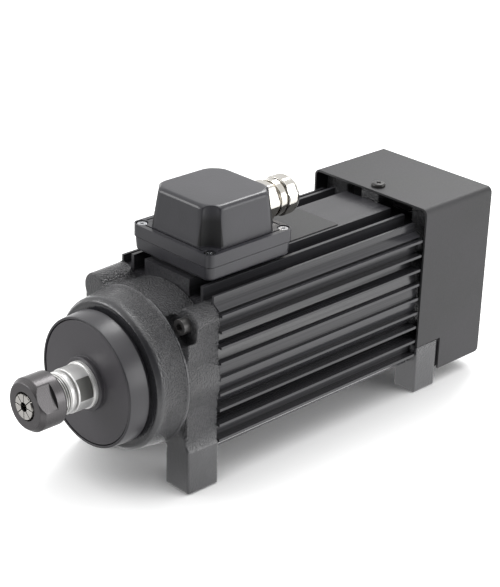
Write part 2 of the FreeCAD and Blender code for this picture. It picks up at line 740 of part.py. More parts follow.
def rearShield():
    body = onAxis("rear_shield")
    seat = s.rearBearingRadius + s.slipGap
    lip = s.rearBearingRadius - s.rearRingGap
    spigot = s.boreRadius - s.slipGap
    inner = spigot - s.castWall
    floor = rearBearingFront + 2.0
    hub = s.rearBearingRadius + 6.0
    springBack = rearBearingBack + s.springWidth
    hubBack = springBack + s.castWall
    turned(body, [
        (inner, housingBack - s.spigotLength), (spigot, housingBack - s.spigotLength),
        (spigot, housingBack), (rearShieldRadius, housingBack),
        (rearShieldRadius, rearShieldBack), (hub, rearShieldBack), (hub, hubBack),
        (lip, hubBack), (lip, springBack), (seat, springBack),
        (seat, rearBearingFront), (hub, rearBearingFront), (hub, floor), (inner, floor)])
    reach = tieReach
    shieldBosses(body, housingBack, rearShieldBack, s.rearBossRadius, quarters(reach))
    for side in (1, -1):
        rearFoot(body, side)
    lugTop = hoodUnderside - s.axisHeight
    prism(body, "XZ_Plane", hoodFront + 0.3, hoodFront + 0.3 + s.lugDepth, lambda k: box(
        k, -s.lugHalf, s.lugHalf, rearShieldRadius - 4.0, lugTop))

    def ports(sketch):
        for u, v in quarters(reach):
            circle(sketch, u, v, s.tieRadius + s.slipGap)
    prism(body, "XZ_Plane", housingBack, rearShieldBack, ports, cut=True)
    footHoles(body, rearFootFront + s.rearHoleSet)
    screwY = hoodFront + s.hoodScrewSet
    prism(body, "XY_Plane", lugTop - s.hoodScrewGrip - 2.0, lugTop,
          lambda k: circle(k, 0, screwY, s.hoodScrewRadius), cut=True)
    return body


def rearFoot(body, side):
    ground = -s.axisHeight
    top = s.rearFootTop - s.axisHeight
    corners = [(s.rearFootInner, ground), (hoodHalf, ground), (hoodHalf, top),
               (hoodHalf - s.hoodSheet - 0.4, top), (tieReach, -tieReach + 6.0),
               (s.rearFootInner, -tieReach)]
    prism(body, "XZ_Plane", rearFootFront, rearShieldBack, lambda k: outline(
        k, [(u * side, v) for u, v in corners]))
    inside = hoodHalf - s.hoodSheet - 0.4
    prism(body, "XZ_Plane", rearShieldBack, rearShieldBack + s.footStep, lambda k: box(
        k, s.rearFootInner * side, inside * side, s.hoodBottom + 1.3 - s.axisHeight,
        -tieReach - s.tieRadius * 1.66 - s.runGap))


# Screws

def socketScrews(name, places, seat, tip, towards):
    """Socket head screws along Y: seat is under the head, towards is where the head points."""
    body = onAxis(name)
    head = s.tieRadius * 1.66
    headEnd = seat + towards * (s.tieRadius * 2.0)
    socketFloor = headEnd - towards * s.tieRadius

    def draw(radius):
        def circles(sketch):
            for u, v in places:
                circle(sketch, u, v, radius)
        return circles

    def sockets(sketch):
        for u, v in places:
            polygon(sketch, u, v, s.tieRadius * 0.83)
    spans = ((seat, headEnd, draw(head), False), (seat, tip, draw(s.tieRadius - s.slipGap), False),
             (socketFloor, headEnd, sockets, True))
    for start, end, shape, cut in spans:
        if float(start) > float(end):
            start, end = end, start
        prism(body, "XZ_Plane", start, end, shape, cut=cut)
    return body


def coverScrews():
    """Countersunk screws under the disc."""
    body = onAxis("bearing_cover_screws")
    coverHoles(body, recessFloor + 0.3, recessFloor + 3.0, s.coverScrewRadius * 1.8)
    coverHoles(body, recessFloor + 3.0, castFront + 9.0, s.coverScrewRadius - s.slipGap)
    return body


def panScrew(body, x, y, headBottom, headTop, headRadius, shank, tip):
    """A domed screw along Z with a cross recess."""
    prism(body, "XY_Plane", tip, headBottom, lambda k: circle(k, x, y, shank))
    prism(body, "XY_Plane", headBottom, headTop, lambda k: circle(k, x, y, headRadius))


def crossRecess(body, spots, top, depth, reach, width):
    for along, across in ((reach, width), (width, reach)):
        def draw(sketch):
            for x, y in spots:
                box(sketch, x - along, x + along, y - across, y + across)
        prism(body, "XY_Plane", top - depth, top, draw, cut=True)


# Front cover, disc and bearings

def bearingCover():
    body = onAxis("front_bearing_cover")
    seat = s.frontBearingRadius - s.slipGap
    bore = s.nutRingRadius + 2.0
    neck = s.discHubRadius + s.discGap
    rim = s.discRadius + s.discGap
    wallBack = recessFloor + s.castWall
    turned(body, [
        (neck, recessFloor), (rim, recessFloor), (rim, rimFront + 0.6), (rim + 0.5, rimFront),
        (s.coverLipRadius - 0.6, rimFront), (s.coverLipRadius, rimFront + 0.6),
        (s.coverRadius, coverBack), (s.coverRadius - 2.6, coverBack),
        (s.coverRadius - 2.6, castFront), (seat, castFront), (seat, firstBearing),
        (bore, firstBearing), (bore, wallBack), (neck, wallBack)])
    coverHoles(body, recessFloor, recessFloor + 3.0, s.coverScrewRadius * 1.8 + s.slipGap, cut=True)
    coverHoles(body, recessFloor, castFront, s.coverScrewRadius, cut=True)
    return body


def labyrinthDisc():
    body = onAxis("labyrinth_disc")
    shaft = s.frontShaftRadius
    turned(body, [
        (shaft, hubFront), (s.discHubRadius - 0.5, hubFront), (s.discHubRadius, hubFront + 0.5),
        (s.discHubRadius, discFront), (s.discRadius - 0.3, discFront),
        (s.discRadius, discFront + 0.3), (s.discRadius, discBack), (s.discHubRadius, discBack),
        (s.discHubRadius, locknutFront), (shaft, locknutFront)])
    return body


def bearingSizes(which):
    """Ball circle, ball, gap, sink, bore, outside, width and count of a bearing."""
    if which == "front":
        middle = (s.frontShaftRadius + s.frontBearingRadius) / 2
        return middle, s.frontBallRadius, s.ringGap, s.frontShaftRadius, s.frontBearingRadius
    middle = (s.rearShaftRadius + s.rearBearingRadius) / 2
    return middle, s.rearBallRadius, s.rearRingGap, s.rearShaftRadius, s.rearBearingRadius


def bearingRings(name, which, ring, fronts, width):
    body = onAxis(name)
    middle, ball, gap, bore, outside = bearingSizes(which)
    for front in fronts:
        if ring == "outer":
            tube(body, middle + gap / 2, outside, front, front + width)
        else:
            tube(body, bore, middle - gap / 2, front, front + width)
        groove(body, middle, front + width / 2, ball + s.slipGap)
    return body


def groove(body, middle, y, radius):
    """The round path of the balls."""
    sketch = newSketch(body, "XY_Plane")
    circle(sketch, middle, y, radius)
    feature = body.newObject("PartDesign::Groove", body.Name + "Groove")
    feature.Profile = sketch
    feature.ReferenceAxis = (sketch, ["V_Axis"])
    feature.Angle = 360
    body.Tip = feature


def bearingBalls(name, which, fronts, width, count):
    body = onAxis(name)
    middle, ball, _, _, _ = bearingSizes(which)
    for front in fronts:
        sketch = newSketch(body, "XY_Plane")
        y = front + width / 2
        halfDisc(sketch, middle, y, ball)
        feature = body.newObject("PartDesign::Revolution", body.Name + "Ball")
        feature.Profile = sketch
        feature.ReferenceAxis = (sketch, ["Axis0"])
        feature.Angle = 360
        body.Tip = feature
        around(body, feature, count)
    return body


def halfDisc(sketch, u, v, radius):
    """Half a disc beside a line along v, with that line as the turning axis."""
    centre = Vector(float(u), float(v), 0)
    size = float(radius)
    low, high = centre - Vector(0, size, 0), centre + Vector(0, size, 0)
    side = centre + Vector(size, 0, 0)
    sketch.addGeometry([Part.Arc(low, side, high), Part.LineSegment(high, low)], False)
    sketch.addGeometry(Part.LineSegment(low, high), True)
    sketch.addConstraint([Sketcher.Constraint("Coincident", 0, 2, 1, 1),
                          Sketcher.Constraint("Coincident", 1, 2, 0, 1),
                          Sketcher.Constraint("Coincident", 2, 1, 0, 1),
                          Sketcher.Constraint("Coincident", 2, 2, 0, 2)])
    pin(sketch, 0, 3, u, v)
    pin(sketch, 1, 2, u, asSize(v) - radius)
    sketch.addConstraint(Sketcher.Constraint("Vertical", 1))


def bearingCage(name, which, fronts, width, count):
    """A ring with round windows for the balls."""
    body = onAxis(name)
    middle, ball, gap, _, _ = bearingSizes(which)
    thin = gap / 2 - 0.3
    for front in fronts:
        y = front + width / 2
        tube(body, middle - thin, middle + thin, y - ball - 1.2, y + ball + 1.2)
        hole = prism(body, "YZ_Plane", middle - gap, middle + gap,
                     lambda k: circle(k, y, 0, ball + 0.1), cut=True)
        around(body, hole, count)
    return body


# Shaft

def spindleShaft():
    body = onAxis("spindle_shaft")
    collarBack = locknutFront
    shoulderBack = bearingsBack + s.shoulderLength
    drop = s.colletRadius - s.colletTail
    tail = s.colletLength - s.colletConeLength - s.colletGrooveWidth
    slope = drop / tail
    mouth = s.colletRadius + s.slipGap
    deep = mouth - slope * s.socketDepth
    socketBack = shaftFront + s.socketDepth
    turned(body, [
        (mouth, shaftFront), (s.threadRadius - 0.8, shaftFront), (s.threadRadius, shaftFront + 0.8),
        (s.threadRadius, ringFront), (s.shaftRingRadius, ringFront),
        (s.shaftRingRadius, ringBack), (s.reliefRadius, ringBack),
        (s.reliefRadius, collarFront), (s.frontShaftRadius - 0.5, collarFront),
        (s.frontShaftRadius, collarFront + 0.5), (s.frontShaftRadius, collarBack),
        (s.frontShaftRadius, bearingsBack), (s.shoulderRadius, bearingsBack),
        (s.shoulderRadius, shoulderBack), (s.rotorSeatRadius, shoulderBack),
        (s.rotorSeatRadius, stackBack + s.endRingWidth),
        (s.rearNeckRadius, stackBack + s.endRingWidth), (s.rearNeckRadius, rearBearingFront),
        (s.rearShaftRadius, rearBearingFront), (s.rearShaftRadius, rearBearingBack + 2.0),
        (s.fanShaftRadius, rearBearingBack + 2.0), (s.fanShaftRadius, fanShaftEnd - 0.8),
        (s.fanShaftRadius - 0.8, fanShaftEnd), (0, fanShaftEnd),
        (0, socketBack + 3.0), (deep, socketBack)])
    flatBack = hubFront - s.flatSet

    def flats(sketch):
        for side in (1, -1):
            near_, far = s.flatReach * side, (s.frontShaftRadius + 2.0) * side
            box(sketch, near_, far, -s.frontShaftRadius, s.frontShaftRadius)
    prism(body, "XZ_Plane", flatBack - s.flatLength, flatBack, flats, cut=True)
    return body


def clampingNut():
    body = onAxis("clamping_nut")
    bore = s.threadRadius + s.slipGap * 2
    coneBack = colletFront + s.colletConeLength
    coneMouth = s.colletFaceRadius + (nutFront - colletFront) * 0.6 + s.runGap
    cavity = s.colletRadius + s.nutCavity
    turned(body, [
        (coneMouth, nutFront), (s.nutNoseRadius, nutFront),
        (s.nutRadius, nutFront + s.nutNoseLength), (s.nutRadius, nutBack - 1.0),
        (s.nutRadius - 1.0, nutBack), (bore, nutBack), (bore, shaftFront - 0.6),
        (cavity, shaftFront - 0.6), (cavity, coneBack),
        (s.colletRadius + s.runGap, coneBack)])
    middle = (s.nutFlat + s.nutRadius * 1.6) / 2
    half = middle - s.nutFlat

    def flat(sketch):
        box(sketch, -s.nutRadius, s.nutRadius, middle - half, middle + half)
    cut = prism(body, "XZ_Plane", nutFront, nutFront + s.nutFlatLength, flat, cut=True)
    around(body, cut, 6)
    return body


def extractorRing():
    body = onAxis("nut_extractor_ring")
    back = colletFront + s.colletConeLength + s.colletGrooveWidth - 0.4
    outer = s.colletRadius + s.nutCavity - s.slipGap
    tube(body, s.colletGroove + 0.4, outer, back - s.extractorWidth, back)
    return body


def collet():
    body = onAxis("collet")
    front = colletFront
    cone = front + s.colletConeLength
    grooveBack = cone + s.colletGrooveWidth
    turned(body, [
        (s.colletBore, front), (s.colletFaceRadius, front), (s.colletRadius - 0.3, cone),
        (s.colletGroove, cone), (s.colletGroove, grooveBack),
        (s.colletRadius, grooveBack), (s.colletTail, colletBack), (s.colletBore, colletBack)])
    slit = prism(body, "XZ_Plane", front, front + s.slitLength, lambda k: box(
        k, s.colletBore / 2, s.colletRadius + 2.0, -s.slitWidth / 2, s.slitWidth / 2), cut=True)
    around(body, slit, s.slitCount)
    return body


# Stator and rotor

def statorCore():
    body = onAxis("stator_core")
    tube(body, s.statorBore, s.boreRadius - s.slipGap, stackFront, stackBack)
    half = s.slotBreadth / 2
    slot = prism(body, "XZ_Plane", stackFront, stackBack, lambda k: outline(k, [
        (s.statorBore - 1.0, -0.9), (s.slotInner, -0.9), (s.slotInner, -half),
        (s.slotOuter, -half * 1.5), (s.slotOuter, half * 1.5), (s.slotInner, half),
        (s.slotInner, 0.9), (s.statorBore - 1.0, 0.9)]), cut=True)
    around(body, slot, s.slotCount)
    return body


def windings():
    """Bars in the slots and a ring of end turns at each end."""
    body = onAxis("stator_windings")
    half = s.slotBreadth / 2 - s.coilGap
    ends = ((1, stackBack + s.endTurnStep), (-1, stackFront - s.endTurnStep))
    inner, outer = s.slotInner + s.coilGap, s.endTurnOuter
    bar = prism(body, "XZ_Plane", ends[1][1] - 3.0, ends[0][1] + 3.0, lambda k: outline(k, [
        (inner + 0.4, -half), (s.slotOuter - s.coilGap, -half * 1.4),
        (s.slotOuter - s.coilGap, half * 1.4), (inner + 0.4, half)]))
    around(body, bar, s.slotCount)
    for way, end in ends:
        far = end + way * s.endTurnLength
        turned(body, [(inner, end), (outer - 2.0, end), (outer, end + way * 3.0),
                      (outer - 1.5, far - way * 2.0), (outer - 4.0, far), (inner + 3.0, far),
                      (inner, far - way * 3.0)])
    return body


def rotorCore():
    body = onAxis("rotor_core")
    tube(body, s.rotorSeatRadius, s.statorBore - s.airGap, stackFront, stackBack)
    return body


def rotorEndRings():
    body = onAxis("rotor_end_rings")
    outer = s.statorBore - s.airGap - 0.6
    tube(body, s.endRingInner, outer, stackFront - s.endRingWidth, stackFront)
    tube(body, s.endRingInner, outer, stackBack, stackBack + s.endRingWidth)
    return body


# Fan, hood and grille

def fanWheel():
    body = onAxis("fan_wheel")
    back = fanFront + s.fanLength
    webBack = fanFront + s.fanWebWidth
    bore = s.fanShaftRadius
    turned(body, [
        (bore, fanFront), (s.fanRadius, fanFront), (s.fanRadius, webBack),
        (s.fanHubRadius + 3.0, webBack), (s.fanHubRadius, webBack + 3.0),
        (s.fanHubRadius, back - 4.0), (s.fanHubRadius - 1.0, back - 3.0), (bore, back - 3.0)])
    half = s.bladeThickness / 2

    def blade(sketch):
        outline(sketch, [(s.fanHubRadius - 1.0, webBack - 1.0), (s.fanRadius, webBack - 1.0),
                         (s.fanRadius, back - 4.0), (s.fanRadius - 6.0, back),
                         (s.fanHubRadius + 6.0, back), (s.fanHubRadius - 1.0, back - 5.0)])
    feature = prism(body, "XY_Plane", -half, half, blade)
    around(body, feature, s.bladeCount)
    return body


def fanRing():
    """Retaining ring in front of the shaft's end."""
    body = onAxis("fan_retaining_ring")
    back = fanFront + s.fanLength - 3.0
    tube(body, s.fanShaftRadius, s.fanShaftRadius + 3.2, back, back + 1.2)
    return body


def fanHood():
    """Bent sheet: a top and two sides, notched for the rear feet."""
    body = newPiece("fan_hood")
    inside = hoodHalf - s.hoodSheet
    prism(body, "XZ_Plane", hoodFront, hoodBack, lambda k: outline(k, [
        (-hoodHalf, s.hoodBottom), (-inside, s.hoodBottom), (-inside, hoodUnderside),
        (inside, hoodUnderside), (inside, s.hoodBottom), (hoodHalf, s.hoodBottom),
        (hoodHalf, hoodTop), (-hoodHalf, hoodTop)]))
    for reach, level, radius in ((hoodHalf, hoodTop, s.hoodBend),
                                 (inside, hoodUnderside, s.hoodBend - s.hoodSheet)):
        def bend(edge):
            spot = edge.CenterOfMass
            return (runsAlong(edge, (0, 1, 0)) and near(abs(spot.x), reach)
                    and near(spot.z, level))
        dress(body, "Fillet", radius, bend)
    prism(body, "YZ_Plane", -hoodHalf - 1.0, hoodHalf + 1.0, lambda k: box(
        k, hoodFront - 1.0, rearShieldBack + s.notchRoom, s.hoodBottom - 1.0,
        s.rearFootTop + s.notchGap), cut=True)
    prism(body, "XY_Plane", hoodUnderside - 1.0, hoodTop + 1.0, lambda k: circle(
        k, 0, hoodFront + s.hoodScrewSet, s.hoodScrewRadius + s.slipGap), cut=True)

    def corner(edge):
        spot = edge.CenterOfMass
        return (runsAlong(edge, (1, 0, 0)) and near(spot.y, hoodBack)
                and near(spot.z, s.hoodBottom))
    dress(body, "Fillet", s.hoodCorner, corner)
    return body


def hoodGrille():
    """Back plate with rings of slots, folded forward along three sides."""
    body = newPiece("hood_grille")
    inside = hoodHalf - s.hoodSheet - s.slipGap
    top = hoodUnderside - s.slipGap
    plate = s.hoodSheet * 0.8
    front = hoodBack - plate
    bottom = s.hoodBottom
    prism(body, "XZ_Plane", front, hoodBack, lambda k: box(k, -inside, inside, bottom, top))
    fold = hoodBack - s.grilleFlange
    bend = s.hoodBend
    for side in (1, -1):
        prism(body, "XZ_Plane", fold, front, lambda k: box(
            k, inside * side, (inside - plate) * side, bottom + 4.0, top - bend))
    prism(body, "XZ_Plane", fold, front, lambda k: box(
        k, -inside + bend, inside - bend, top - plate, top))

    def cornerEdge(edge):
        spot = edge.CenterOfMass
        return (runsAlong(edge, (0, 1, 0)) and near(abs(spot.x), inside)
                and near(spot.z, top))
    dress(body, "Fillet", bend - s.hoodSheet, cornerEdge)
    middle = s.axisHeight
    for ring in range(1, int(float(s.grilleRings)) + 1):
        radius = s.grilleRing * ring
        arcSlot(body, front - 1.0, hoodBack, middle, radius, ring)
    return body


def arcSlot(body, front, back, middle, radius, ring):
    """Four arc slots on one ring, left open by bars."""
    half = s.grilleSlot / 2
    inner, outer = radius - half, radius + half
    free = float(s.grilleBar) / 2
    slots = 4
    sketch = newSketch(body, "XZ_Plane", front)
    for quarter in range(slots):
        turn = quarter * math.pi / 2 + (math.pi / 4) * (ring % 2)
        a0 = turn + math.asin(free / float(inner))
        a1 = turn + math.pi / 2 - math.asin(free / float(inner))
        slotOutline(sketch, middle, inner, outer, a0, a1)
    pocket = body.newObject("PartDesign::Pocket", body.Name + "Slots")
    pocket.Profile = sketch
    depth = asSize(back) - front
    bind(pocket, "Length", depth + 1.0)
    body.Tip = pocket


def slotOutline(sketch, middle, inner, outer, start, stop):
    """One slot between two arcs about the spindle axis."""
    centre = Vector(0, float(middle), 0)

    def at(radius, turn):
        return centre + Vector(float(radius) * math.cos(turn), float(radius) * math.sin(turn), 0)
    half = (start + stop) / 2
    first = sketch.GeometryCount
    sketch.addGeometry([
        Part.Arc(at(outer, start), at(outer, half), at(outer, stop)),
        Part.LineSegment(at(outer, stop), at(inner, stop)),
        Part.Arc(at(inner, stop), at(inner, half), at(inner, start)),
        Part.LineSegment(at(inner, start), at(outer, start))], False)
    links = []
    for one, two in ((0, 1), (1, 2), (2, 3), (3, 0)):
        spots = {}
        for which in (one, two):
            for end in (1, 2):
                spots[(which, end)] = sketch.getPoint(first + which, end)
        best = min(((p - q).Length, a, b) for a, p in spots.items() for b, q in spots.items()
                   if a[0] == one and b[0] == two)
        links.append(Sketcher.Constraint("Coincident", first + one, best[1][1],
                                         first + two, best[2][1]))
    sketch.addConstraint(links)
    for arc, radius in ((0, outer), (2, inner)):
        pin(sketch, first + arc, 3, 0.0, middle)
        index = sketch.addConstraint(Sketcher.Constraint("Radius", first + arc, float(radius)))
        sketch.setExpression("Constraints[%d]" % index, asSize(radius).text)


def hoodScrew():
    body = newPiece("hood_screw")
    y = hoodFront + s.hoodScrewSet
    top = hoodTop + s.hoodScrewRise
    panScrew(body, 0.0, y, hoodTop, top, s.hoodScrewHead,
             s.hoodScrewRadius - s.slipGap, hoodUnderside - s.hoodScrewGrip)

    def rim(edge):
        return near(edge.CenterOfMass.z, top) and edge.Curve.TypeId == "Part::GeomCircle"
    dress(body, "Fillet", 1.5, rim)
    crossRecess(body, [(0.0, y)], top, 1.6, 1.9, 0.5)
    return body


# Terminal box

def cornerEdges(edge, halfX, middleY, halfY):
    spot = edge.CenterOfMass
    return (abs(abs(spot.x) - float(halfX)) < 3.0
            and abs(abs(spot.y - float(middleY)) - float(halfY)) < 3.0
            and abs(edgeEnds(edge)[0].z - edgeEnds(edge)[-1].z) > 0.3)


def boxSketch(sketch, halfX, halfY):
    box(sketch, -halfX, halfX, boxMiddle - halfY, boxMiddle + halfY)


def lidSpots():
    return [(x, boxMiddle + y) for x, y in quarters(lidScrewX, lidScrewY)]


def boxPad():
    """Gasket between the flat top of the body and the box."""
    body = newPiece("terminal_box_gasket")
    prism(body, "XY_Plane", plateauTop, baseBottom, lambda k: boxSketch(
        k, s.plateauHalf - 0.8, s.boxLength / 2 - 4.0))
    prism(body, "XY_Plane", plateauTop - 1.0, baseBottom + 1.0,
          lambda k: boxFloorHoles(k, s.slipGap), cut=True)
    return body


def boxBase():
    body = newPiece("terminal_box_base")
    foot_ = s.boxHalf - s.baseDraft
    halfLength = s.boxLength / 2
    draft = math.degrees(math.atan2(float(s.baseDraft), float(s.baseHeight)))
    prism(body, "XY_Plane", baseBottom, baseTop, lambda k: boxSketch(
        k, foot_, halfLength - s.baseDraft), taper=draft)
    dress(body, "Fillet", s.boxCorner, lambda e: cornerEdges(
        e, s.boxHalf, boxMiddle, halfLength))
    dress(body, "Fillet", s.baseEdge, lambda e: near(e.CenterOfMass.z, baseBottom))
    floor = baseBottom + s.boxWall

    def well(sketch):
        x, y = s.boxHalf - s.boxWall * 1.5, halfLength - s.boxWall * 1.5
        cut = s.lidScrewInset + s.lidScrewRadius + 2.0
        corners = []
        for a, b in ((1, 1), (-1, 1), (-1, -1), (1, -1)):
            pair = [(a * x, boxMiddle + b * (y - cut)), (a * (x - cut), boxMiddle + b * y)]
            corners += pair if a * b > 0 else pair[::-1]
        outline(sketch, corners)
    prism(body, "XY_Plane", floor, baseTop, well, cut=True)
    prism(body, "XY_Plane", baseBottom - 1.0, floor + 1.0,
          lambda k: boxFloorHoles(k, s.slipGap), cut=True)
    lidHoles(body, baseTop - s.lidScrewDepth, baseTop, s.lidScrewRadius)
    return body


def lidHoles(body, low, high, radius):
    def draw(sketch):
        for x, y in lidSpots():
            circle(sketch, x, y, radius)
    prism(body, "XY_Plane", low, high, draw, cut=True)


def lidSeal():
    body = newPiece("lid_gasket")
    prism(body, "XY_Plane", baseTop, rimBottom, lambda k: boxSketch(
        k, s.boxHalf - 0.6, s.boxLength / 2 - 0.6))
    dress(body, "Fillet", s.boxCorner - 0.6, lambda e: cornerEdges(
        e, s.boxHalf, boxMiddle, s.boxLength / 2))
    prism(body, "XY_Plane", baseTop - 1.0, rimBottom + 1.0, lambda k: boxSketch(
        k, s.boxHalf - 13.0, s.boxLength / 2 - 13.0), cut=True)
    lidHoles(body, baseTop - 1.0, rimBottom + 1.0, s.lidScrewRadius)
    return body


def boxLid():
    """Rim with a drafted dome, hollowed at the corners for the screws."""
    body = newPiece("terminal_box_lid")
    prism(body, "XY_Plane", rimBottom, rimTop, lambda k: boxSketch(k, lidHalf, lidHalfLength))
    dress(body, "Fillet", s.boxCorner, lambda e: cornerEdges(
        e, lidHalf, boxMiddle, lidHalfLength))
    prism(body, "XY_Plane", rimTop, domeTop, lambda k: boxSketch(k, domeX, domeY),
          taper=-s.domeDraft)

    def flutes(sketch):
        for x, y in lidSpots():
            circle(sketch, x, y, s.fluteRadius)
    prism(body, "XY_Plane", rimTop, domeTop + 1.0, flutes, cut=True)

    def rimGrooves(sketch):
        x, y = domeX + 0.3, domeY + 0.3
        runX, runY = lidScrewX - s.lidScrewRecess - 1.0, lidScrewY - s.lidScrewRecess - 1.0
        for side in (1, -1):
            box(sketch, x * side, (x + s.rimGroove) * side, boxMiddle - runY, boxMiddle + runY)
            box(sketch, -runX, runX, boxMiddle + y * side, boxMiddle + (y + s.rimGroove) * side)

    def fluteEdge(edge):
        ends = edgeEnds(edge)
        return (abs(ends[0].z - ends[-1].z) > 15.0
                and near(min(p.z for p in ends), rimTop) and near(max(p.z for p in ends), domeTop))
    dress(body, "Fillet", s.fluteEdge, fluteEdge)

    def topEdge(edge):
        return near(edge.CenterOfMass.z, domeTop) and all(
            near(p.z, domeTop) for p in edgeEnds(edge))
    dress(body, "Fillet", s.domeEdge, topEdge)
    prism(body, "XY_Plane", rimTop - s.rimGroove, rimTop, rimGrooves, cut=True)
    prism(body, "XZ_Plane", glandFace - 7.0, glandFace, lambda k: circle(
        k, 0, glandHeight, s.glandBossRadius))

    def cavity(sketch):
        x, y = domeX - s.boxWall * 2.2, domeY - s.boxWall * 2.2
        cut = (x - lidScrewX + s.fluteRadius * 0.7071 + s.boxWall) * 2
        corners = []
        for a, b in ((1, 1), (-1, 1), (-1, -1), (1, -1)):
            pair = [(a * x, boxMiddle + b * (y - cut)), (a * (x - cut), boxMiddle + b * y)]
            corners += pair if a * b > 0 else pair[::-1]
        outline(sketch, corners)
    prism(body, "XY_Plane", rimBottom, domeTop - s.boxWall, cavity, cut=True)
    lidHoles(body, rimBottom, rimTop, s.lidScrewRadius + s.slipGap)
    lidHoles(body, rimTop - s.lidScrewSink, rimTop, s.lidScrewRecess)
    prism(body, "XZ_Plane", glandFace - s.glandBoltLength - 8.0, glandFace, lambda k: circle(
        k, 0, glandHeight, s.glandThread), cut=True)
    side = s.glandCorner + 0.4
    floor = glandHeight - s.sealRadius - 0.3
    prism(body, "XZ_Plane", glandFace, boxBack + s.lidOverhang + 1.0, lambda k: box(
        k, -side, side, floor, rimTop + 1.0), cut=True)
    return body


def lidScrews():
    body = newPiece("lid_screws")
    seat = rimTop - s.lidScrewSink
    top = rimTop - s.lidScrewDrop

    def shape(radius):
        def draw(sketch):
            for x, y in lidSpots():
                circle(sketch, x, y, radius)
        return draw
    prism(body, "XY_Plane", baseTop - s.lidScrewDepth, seat, shape(s.lidScrewRadius - s.slipGap))
    prism(body, "XY_Plane", seat, top, shape(s.lidScrewHead))
    crossRecess(body, lidSpots(), top, 1.2, 1.7, 0.4)
    return body


def boxScrews():
    """Two screws through the floor of the box into the body."""
    body = newPiece("box_mounting_screws")
    floor = baseBottom + s.boxWall

    def shape(radius):
        def draw(sketch):
            for side in (-1, 1):
                circle(sketch, 0, boxMiddle + boxScrewReach * side, radius)
        return draw
    prism(body, "XY_Plane", plateauTop - s.boxScrewGrip, floor, shape(s.boxScrewRadius - s.slipGap))
    prism(body, "XY_Plane", floor, floor + s.boxScrewHead, shape(s.boxScrewRadius * 2.0))
    return body


def blockSpots():
    spots = []
    for row in (-0.25, 0.25):
        for column in (-1, 0, 1):
            spots.append((s.blockHalf * 0.6 * column, boxMiddle + s.blockLength * row + s.blockShift))
    return spots


def terminalBlock():
    body = newPiece("terminal_block")
    floor = baseBottom + s.boxWall
    middle = boxMiddle + s.blockShift
    half = s.blockLength / 2
    prism(body, "XY_Plane", floor, floor + s.blockHeight, lambda k: box(
        k, -s.blockHalf, s.blockHalf, middle - half, middle + half))
    top = floor + s.blockHeight
    for wall in (-0.3, 0.3):
        prism(body, "XY_Plane", top, top + 3.0, lambda k: box(
            k, s.blockHalf * wall - 0.8, s.blockHalf * wall + 0.8, middle - half, middle + half))
    return body


def terminalStuds():
    """Brass studs with nuts on the block."""
    body = newPiece("terminal_studs")
    top = baseBottom + s.boxWall + s.blockHeight

    def shape(radius):
        def draw(sketch):
            for x, y in blockSpots():
                circle(sketch, x, y, radius)
        return draw

    def nuts(sketch):
        for x, y in blockSpots():
            polygon(sketch, x, y, s.studRadius * 1.7)
    prism(body, "XY_Plane", top, top + s.studHeight, shape(s.studRadius))
    prism(body, "XY_Plane", top, top + 3.0, nuts)
    return body


# Cable gland, about its own axis along Y

def onGland(name):
    return newPiece(name, z=glandHeight)


def glandBody():
    body = onGland("gland_body")
    hexFront = glandFace + s.sealWidth
    hexBack = hexFront + s.glandBodyLength
    neckBack = hexBack + s.glandNeckLength
    boltFront = glandFace - s.glandBoltLength
    prism(body, "XZ_Plane", hexFront, hexBack, lambda k: polygon(k, 0, 0, s.glandHex))
    turned(body, [(s.glandCorner, hexFront - 1.0), (s.glandCorner + 6.0, hexFront - 1.0),
                  (s.glandCorner + 6.0, hexBack + 1.0), (s.glandCorner, hexBack + 1.0)], cut=True)
    prism(body, "XZ_Plane", boltFront, hexFront, lambda k: circle(
        k, 0, 0, s.glandThread - s.slipGap))
    prism(body, "XZ_Plane", hexBack, neckBack, lambda k: circle(k, 0, 0, s.glandNeck - 1.0))
    collar = hexBack + s.glandCollarSet
    prism(body, "XZ_Plane", collar, collar + s.glandCollarWidth, lambda k: circle(
        k, 0, 0, s.glandNeck + s.glandCollarRise))
    prism(body, "XZ_Plane", boltFront, neckBack, lambda k: circle(k, 0, 0, s.glandBore + 1.5), cut=True)
    return body


def glandSeal():
    body = onGland("gland_seal")
    tube(body, s.glandThread, s.sealRadius, glandFace, glandFace + s.sealWidth)
    return body


def glandLocknut():
    body = onGland("gland_locknut")
    inner = boxBack + s.lidOverhang - s.domeInset - s.boxWall * 2.2
    prism(body, "XZ_Plane", inner - s.locknutWidth, inner, lambda k: polygon(k, 0, 0, s.glandHex))
    prism(body, "XZ_Plane", inner - s.locknutWidth, inner, lambda k: circle(
        k, 0, 0, s.glandThread), cut=True)
    return body


def glandCap():
    """Dome nut with hexagon flats and a rounded end."""
    body = onGland("gland_dome_nut")
    front = glandFace + s.sealWidth + s.glandBodyLength + s.glandNeckLength - 1.0
    back = front + s.glandCapLength
    bore = s.glandBore + 0.8
    turned(body, [
        (bore, front), (s.glandCorner, front), (s.glandCorner, back - 3.6),
        (s.glandCorner - 0.7, back - 1.7), (s.glandCorner - 2.2, back - 0.4),
        (s.glandCorner - 4.0, back), (bore + 0.6, back), (bore, back - 0.6)])
    middle = s.glandHex + 3.0
    flat = prism(body, "XZ_Plane", front, back - 3.0, lambda k: box(
        k, -s.glandCorner, s.glandCorner, s.glandHex + 0.7, middle + 3.0), cut=True)
    around(body, flat, 6)
    prism(body, "XZ_Plane", front, front + 1.0, lambda k: circle(
        k, 0, 0, s.glandNeck - 1.0), cut=True)
    return body


def glandInsert():
    """Rubber ring that grips the cable."""
    body = onGland("gland_insert")
    front = glandFace + s.sealWidth + s.glandBodyLength + 1.0
    back = front + s.glandNeckLength - 2.0
    tube(body, s.glandBore, s.glandBore + 1.45, front, back)
    return body


